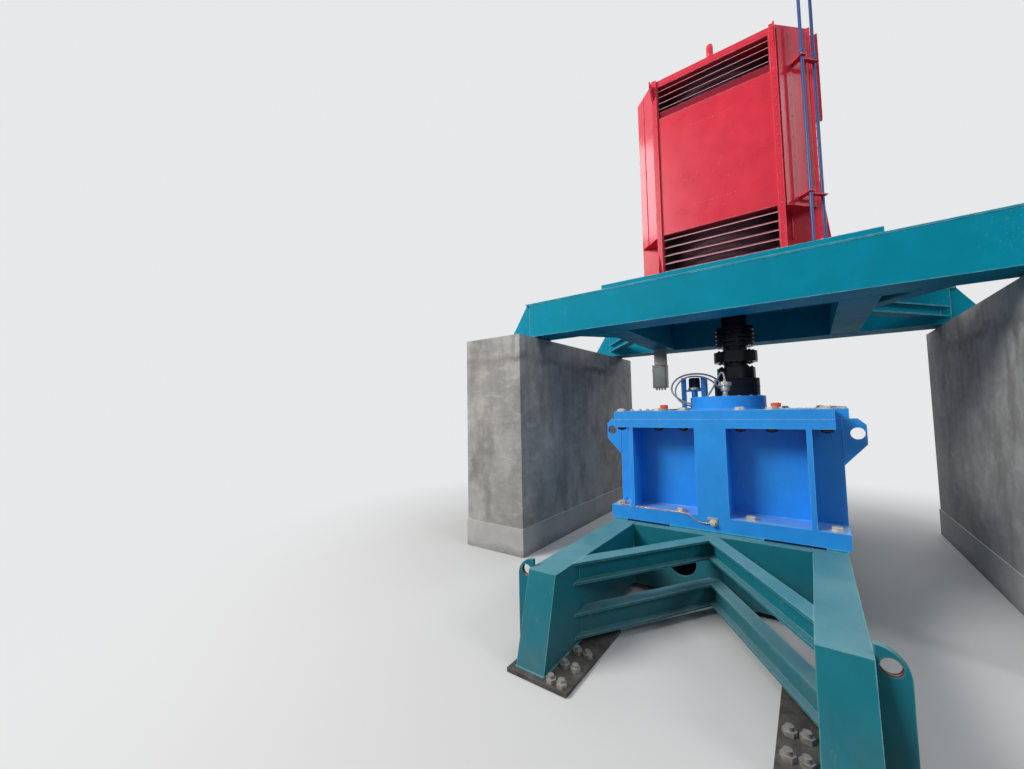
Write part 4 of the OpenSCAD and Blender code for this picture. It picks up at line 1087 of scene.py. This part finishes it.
# Generator: small bolts on its strips, plug welds on its panels, and the fittings on its sides and top
PLUG_WELD_ZS = (3.765, 4.655)
PLUG_WELD_ARC = 0.1
FRAME_SCREW_X = 0.556
FRAME_SCREW_ZS = (4.885, 5.245)
HATCH_OUT = 0.014
HATCH_HALF = 0.475
HATCH_ZS = (3.082, 3.503)
HATCH_MIDDLE = 3.29
TINY_BOLT = (0.0065, 0.005, 0.0015)
TINY_SCREW = (0.0065, 0.0025)
top_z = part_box("top_plate")[1].z


def bolt_casing():
    for turn, name in enumerate(FACES):
        out = LEFT_STRIP_D if name == "left" else STRIP_D
        strips = [
            on_face(turn, side * STRIP_MID, out, z)
            for side in SIDES for z in steps(front_low.z + 0.06, front_high.z - 0.05, 24)]
        frames = [on_face(turn, side * FRAME_SCREW_X, 0, z) for side in SIDES for z in steps(*FRAME_SCREW_ZS, 4)]
        marks = [
            on_face(turn, along, 0.0, z + PLUG_WELD_ARC * along * along)
            for z in PLUG_WELD_ZS for along in steps(-0.19, 0.19, 12)]
        repeat("strip_bolts_" + name, hex_bolt(*TINY_BOLT), strips, RED_PAINT)
        repeat("louvre_screws_" + name, hex_bolt(*TINY_BOLT), frames, ZINC)
        repeat("plug_welds_" + name, weld_dimple(0.009, 0.003), marks, RED_PAINT)
    covers_low, covers_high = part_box("corner_covers")
    covers = [
        on_corner(turn, along, out, z)
        for turn in range(4) for along, out in ((-0.05, 0.012), (0.15, 0.006))
        for z in steps(covers_low.z + 0.06, covers_high.z - 0.06, 9)]
    repeat("corner_cover_screws", socket_screw(*TINY_SCREW), covers, RED_PAINT)
    crown = on_ring(AXIS, 0.39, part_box("top_crown")[1].z, 24)
    repeat("crown_bolts", hex_bolt(*SMALL_BOLT), crown, ZINC)
    rim = [(face_place(turn, along, -0.045, top_z), UP) for turn in range(4) for along in steps(-0.55, 0.55, 9)]
    repeat("top_plate_bolts", hex_bolt(*SMALL_BOLT), rim, ZINC)
    spots = [(along, z) for along in steps(-HATCH_HALF, HATCH_HALF, 8) for z in HATCH_ZS]
    spots += [(along, z) for along in (-HATCH_HALF, HATCH_HALF) for z in (3.19, HATCH_MIDDLE, 3.39)]
    hatch = [on_face(1, along, HATCH_OUT, z) for along, z in spots]
    repeat("hatch_bolts", hex_bolt(*SMALL_BOLT), hatch, ZINC)
    duct_low, duct_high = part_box("side_duct")
    middle = (duct_low.y + duct_high.y) / 2
    duct = grid([duct_high.x], [middle], steps(duct_low.z + 0.05, duct_high.z - 0.05, 6), RIGHT)
    repeat("duct_screws", socket_screw(*TINY_SCREW), duct, ZINC)


BLADE_DROP = 0.0175
LOW_LOUVRE = (3.068, 0.0898, 5)
TOP_LOUVRE = (4.965, 0.07175, 4)


def blade_edges(start, pitch, count):
    return [start + pitch * (i + 0.5) - BLADE_DROP for i in range(count)]


def hem_louvres():
    """The rolled lower edge of each louvre blade, in a pale pink that paints the highlight on it."""
    low, top = blade_edges(*LOW_LOUVRE), blade_edges(*TOP_LOUVRE)
    for turn, name in enumerate(FACES):
        hems = []
        for z in (top if name == "right" else low + top):
            route = [face_place(turn, along, -0.0025, z) for along in (-0.532, -0.2, 0.2, 0.532)]
            hems.append(tube("hem", route, 0.0026, 1, STRAIGHT))
        fit("louvre_hems_" + name, hems, HIGHLIT_HEM_RED)


def fit_baffles():
    """Upright plates inside the casing, from the stator core out to each corner, that turn the cooling air."""
    core_low, core_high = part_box("stator_core")
    core_radius = (core_high.x - core_low.x) / 2
    corner = (corner_place(0, 0, 0, 0) - CENTRE).length
    notch_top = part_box("corner_panels")[0].z
    spans = ((FLAT_HALF * math.sqrt(2), core_low.z, notch_top), (corner, notch_top + 0.014, core_high.z))
    plates = []
    for turn in range(4):
        for reach, start, end in spans:
            plate = block("plate", (core_radius - 0.004, -0.005, start), (reach - 0.015, 0.005, end), 0.001)
            plate.rotation_euler = (0, 0, math.radians(90 * turn + 45))
            plate.location = CENTRE
            plates.append(finish_editing(plate))
    fit("air_baffles", plates, BAFFLE_BLACK)


def dress_casing():
    """Handles of the hatch, the vent and the oil head's cap on top, and the rod in the notch."""
    handles = [
        bar_handle(lambda offset, depth: face_place(1, along + offset, depth, HATCH_MIDDLE),
                     0.07, HATCH_OUT, HATCH_OUT + 0.035, 0.014, 0.007)
        for along in (-0.25, 0.25)]
    fit("hatch_handles", handles, STEEL)
    vent = drum_stack(
        (0.01, -0.095, top_z), ("foot", 0.0, 0.046, 0.012, 0.002, 32),
        ("stub", 0.01, 0.034, 0.12, 0.004, 32), ("cap", 0.126, 0.031, 0.03, 0.014, 32))
    fit("top_vent", vent, RED_PAINT)
    head_low, head_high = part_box("oil_head")
    cap = drum_stack((*AXIS, head_high.z), ("cap", -0.004, 0.052, 0.03, 0.004, 32, 0.003))
    cap += drum_stack(
        (*AXIS, head_low.z), ("collar", 0.0, 0.078, 0.014, 0.003, 48), ("band", 0.07, 0.063, 0.012, 0.003, 48))
    fit("oil_head_cap", cap, GREY_PAINT)
    fit("notch_rod", [drum("rod", (0.635, 0.1, 3.235), 0.01, 0.27, 0.003, 16)], RED_PAINT)


# Along and out from the front right corner, and the height of the union
PIPE_PLACES = ((-0.006, 0.111, 4.919), (0.173, 0.064, 4.948))
FLANGE_DEPTH = 0.014


def finish_pipes():
    """A union in each pipe, its foot on the seat frame, and the bolts of its flanges."""
    floor_z, pipe_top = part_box("seat_frame")[1].z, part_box("oil_pipes")[1].z
    unions, feet, places = [], [], []
    for along, out, union_z in PIPE_PLACES:
        x, y, z = corner_place(0, along, out, union_z)
        unions += drum_stack(
            (x, y, z), ("nut", 0.0, 0.024, 0.022, 0.002, 6), ("sleeve", 0.02, 0.019, 0.026, 0.002, 24),
            ("nut", 0.044, 0.024, 0.022, 0.002, 6))
        feet += drum_stack(
            (x, y, floor_z), ("flange", 0.0, 0.04, FLANGE_DEPTH, 0.002, 32),
            ("sleeve", 0.0, 0.02, 0.05, 0.002, 24))
        places += on_ring((x, y), 0.025, pipe_top - FLANGE_DEPTH, 4, DOWN)
        places += on_ring((x, y), 0.032, floor_z + FLANGE_DEPTH, 4)
    fit("pipe_unions", unions, PIPE_PAINT)
    fit("pipe_feet", feet, PIPE_PAINT)
    repeat("pipe_flange_bolts", hex_bolt(0.0045, 0.004, 0.001), places, ZINC)


def finish_terminal_box():
    """Two doors with hinges and handles, a rain lip, cable glands underneath and a flanged duct."""
    low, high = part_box("terminal_box")
    front = high.y
    middle_x, middle_z = (low.x + high.x) / 2, (low.z + high.z) / 2
    doors, hinges, handles = [], [], []
    for side, start, end in ((-1, low.x + 0.015, middle_x - 0.003), (1, middle_x + 0.003, high.x - 0.015)):
        door_low, door_high = (start, front - 0.001, low.z + 0.02), (end, front + 0.016, high.z - 0.03)
        doors.append(door_leaf(door_low, door_high, 0.004, BACK, 0.035, 0.006, 0.004))
        hinge_x = start - 0.004 if side < 0 else end + 0.004
        for z in steps(low.z + 0.12, high.z - 0.2, 4):
            hinges.append(drum("hinge", (hinge_x, front + 0.01, z), 0.008, 0.07, 0.002, 16))
        x = middle_x + side * 0.05
        handles.append(bar_handle(
            lambda offset, depth: (x, front + depth, middle_z + offset), 0.08, 0.014, 0.055, 0.016, 0.008))
    lip_low = (low.x - 0.015, low.y + 0.004, high.z - 0.004)
    lip_high = (high.x + 0.015, front + 0.045, high.z + 0.01)
    fit("terminal_box_doors", [*doors, block("rain_lip", lip_low, lip_high)], RED_PAINT)
    fit("terminal_box_hinges", hinges, STEEL)
    fit("terminal_box_handles", handles, STEEL)
    plate_low, plate_high = (low.x + 0.1, low.y + 0.12, low.z - 0.014), (high.x - 0.1, front - 0.12, low.z + 0.001)
    glands = [block("plate", plate_low, plate_high)]
    for x in steps(low.x + 0.2, high.x - 0.2, 4):
        for y in (low.y + 0.22, front - 0.22):
            glands += drum_stack(
                (x, y, low.z), ("gland", -0.052, 0.034, 0.04, 0.004, 12), ("end", -0.085, 0.026, 0.034, 0.006, 24))
    fit("terminal_box_glands", glands, GREY_PAINT)
    duct_low, duct_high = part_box("terminal_duct")
    left, right = duct_low.x - 0.03, duct_high.x + 0.03
    rims = []
    for y in (duct_low.y + 0.075, duct_low.y + 0.089):
        rims.append(block("rim", (left, y, duct_low.z - 0.03), (right, y + 0.012, duct_high.z + 0.03), 0.002))
    fit("terminal_duct_flanges", rims, RED_PAINT)
    places = grid(
        (left + 0.015, right - 0.015), [duct_low.y + 0.101], steps(duct_low.z, duct_high.z, 7), BACK)
    repeat("terminal_duct_bolts", hex_bolt(*SMALL_BOLT), places, ZINC)


finish_lower_bracket()
bolt_gearbox()
bolt_bearing_caps()
weld_gearbox()
make_level_sensor()
make_breathers()
make_drain_plug()
make_oil_pump()
make_oil_tubes()
make_cover_plate()
bolt_coupling()
finish_upper_bracket()
finish_control_box()
bolt_casing()
hem_louvres()
fit_baffles()
dress_casing()
finish_pipes()
finish_terminal_box()

# Floor, backdrop and light
BACKDROP = (0.8, 0.81, 0.82)
SKY_TONE = (0.93, 0.96, 1.0)
SKY_STRENGTH = 0.3
FLOOR_LIT = (0.18, 0.18, 0.18)
FLOOR_SEEN = (0.54, 0.54, 0.535)
FADE_START, FADE_END = 2.6, 7.0
WARM, COOL, WHITE = (1.0, 0.99, 0.97), (0.97, 0.98, 1.0), (1.0, 1.0, 1.0)


def seen_directly(tree):
    """What the camera sees straight or mirrored in gloss, but not what lights the object."""
    rays = node(tree, "ShaderNodeLightPath").outputs
    return maths("MAXIMUM", rays["Is Camera Ray"], rays["Is Glossy Ray"])


def blended(share, first, second):
    """Two shaders, the second of them as strong as the share says."""
    inputs = {0: share, 1: first.outputs[0], 2: second.outputs[0]}
    return node(share.id_data, "ShaderNodeMixShader", inputs).outputs[0]


def make_stage():
    scene = bpy.context.scene
    scene.view_settings.view_transform = "Standard"
    scene.world = bpy.data.worlds.new("studio")
    scene.world.use_nodes = True
    tree = scene.world.node_tree
    tree.nodes.clear()
    light = node(tree, "ShaderNodeBackground", {"Color": SKY_TONE, "Strength": SKY_STRENGTH})
    back = node(tree, "ShaderNodeBackground", {"Color": BACKDROP, "Strength": 1.0})
    node(tree, "ShaderNodeOutputWorld", {"Surface": blended(seen_directly(tree), light, back)})
    deselect()
    bpy.ops.mesh.primitive_plane_add(size=160, location=(0, 0, -0.002))
    floor = bpy.context.object
    floor.name = "floor"
    finish, tree, skin = new_finish("pale_floor", specular=0.2)
    seen = seen_directly(tree)
    skin["Roughness"].default_value = 0.9
    feed(skin["Base Color"], mixed(seen, FLOOR_LIT, FLOOR_SEEN))
    reach = node(tree, "ShaderNodeVectorMath", {0: position(tree)}, operation="LENGTH").outputs["Value"]
    fade = remap(reach, FADE_START, FADE_END, curve="SMOOTHERSTEP")
    glow = node(tree, "ShaderNodeEmission", {"Color": BACKDROP, "Strength": 1.0})
    surface = blended(product(fade, seen), tree.nodes[SHADER], glow)
    feed(tree.nodes["Material Output"].inputs["Surface"], surface)
    floor.data.materials.append(finish)


def area_light(name, place, target, size, power, colour):
    data = bpy.data.lights.new(name, "AREA")
    data.shape = "RECTANGLE"
    data.size, data.size_y = size
    data.energy = power
    data.color = colour
    lamp = bpy.data.objects.new(name, data)
    bpy.context.scene.collection.objects.link(lamp)
    lamp.location = place
    lamp.rotation_mode = "QUATERNION"
    lamp.rotation_quaternion = (Vector(target) - Vector(place)).to_track_quat("-Z", "Y")


make_stage()
area_light("key_light", (-6.2, -8.6, 8.2), (0, 0, 2.0), (4.4, 4), 1270, WARM)
area_light("left_window", (-7.6, 2.0, 7.8), (-0.7, 0, 3.8), (3.5, 2.5), 75, COOL)
area_light("right_window", (7.8, -2.6, 7.2), (0.7, 0, 3.8), (2.0, 3.0), 185, COOL)
area_light("corner_window", (7.6, -0.4, 7.6), (0.7, 0, 3.8), (0.6, 3.4), 20, WHITE)
area_light("top_light", (0, 1, 13), (0, 0.7, 0), (8, 8), 420, WHITE)
area_light("back_light", (2, 10, 7), (0, 1.5, 3), (6, 4), 380, (0.96, 0.98, 1.0))
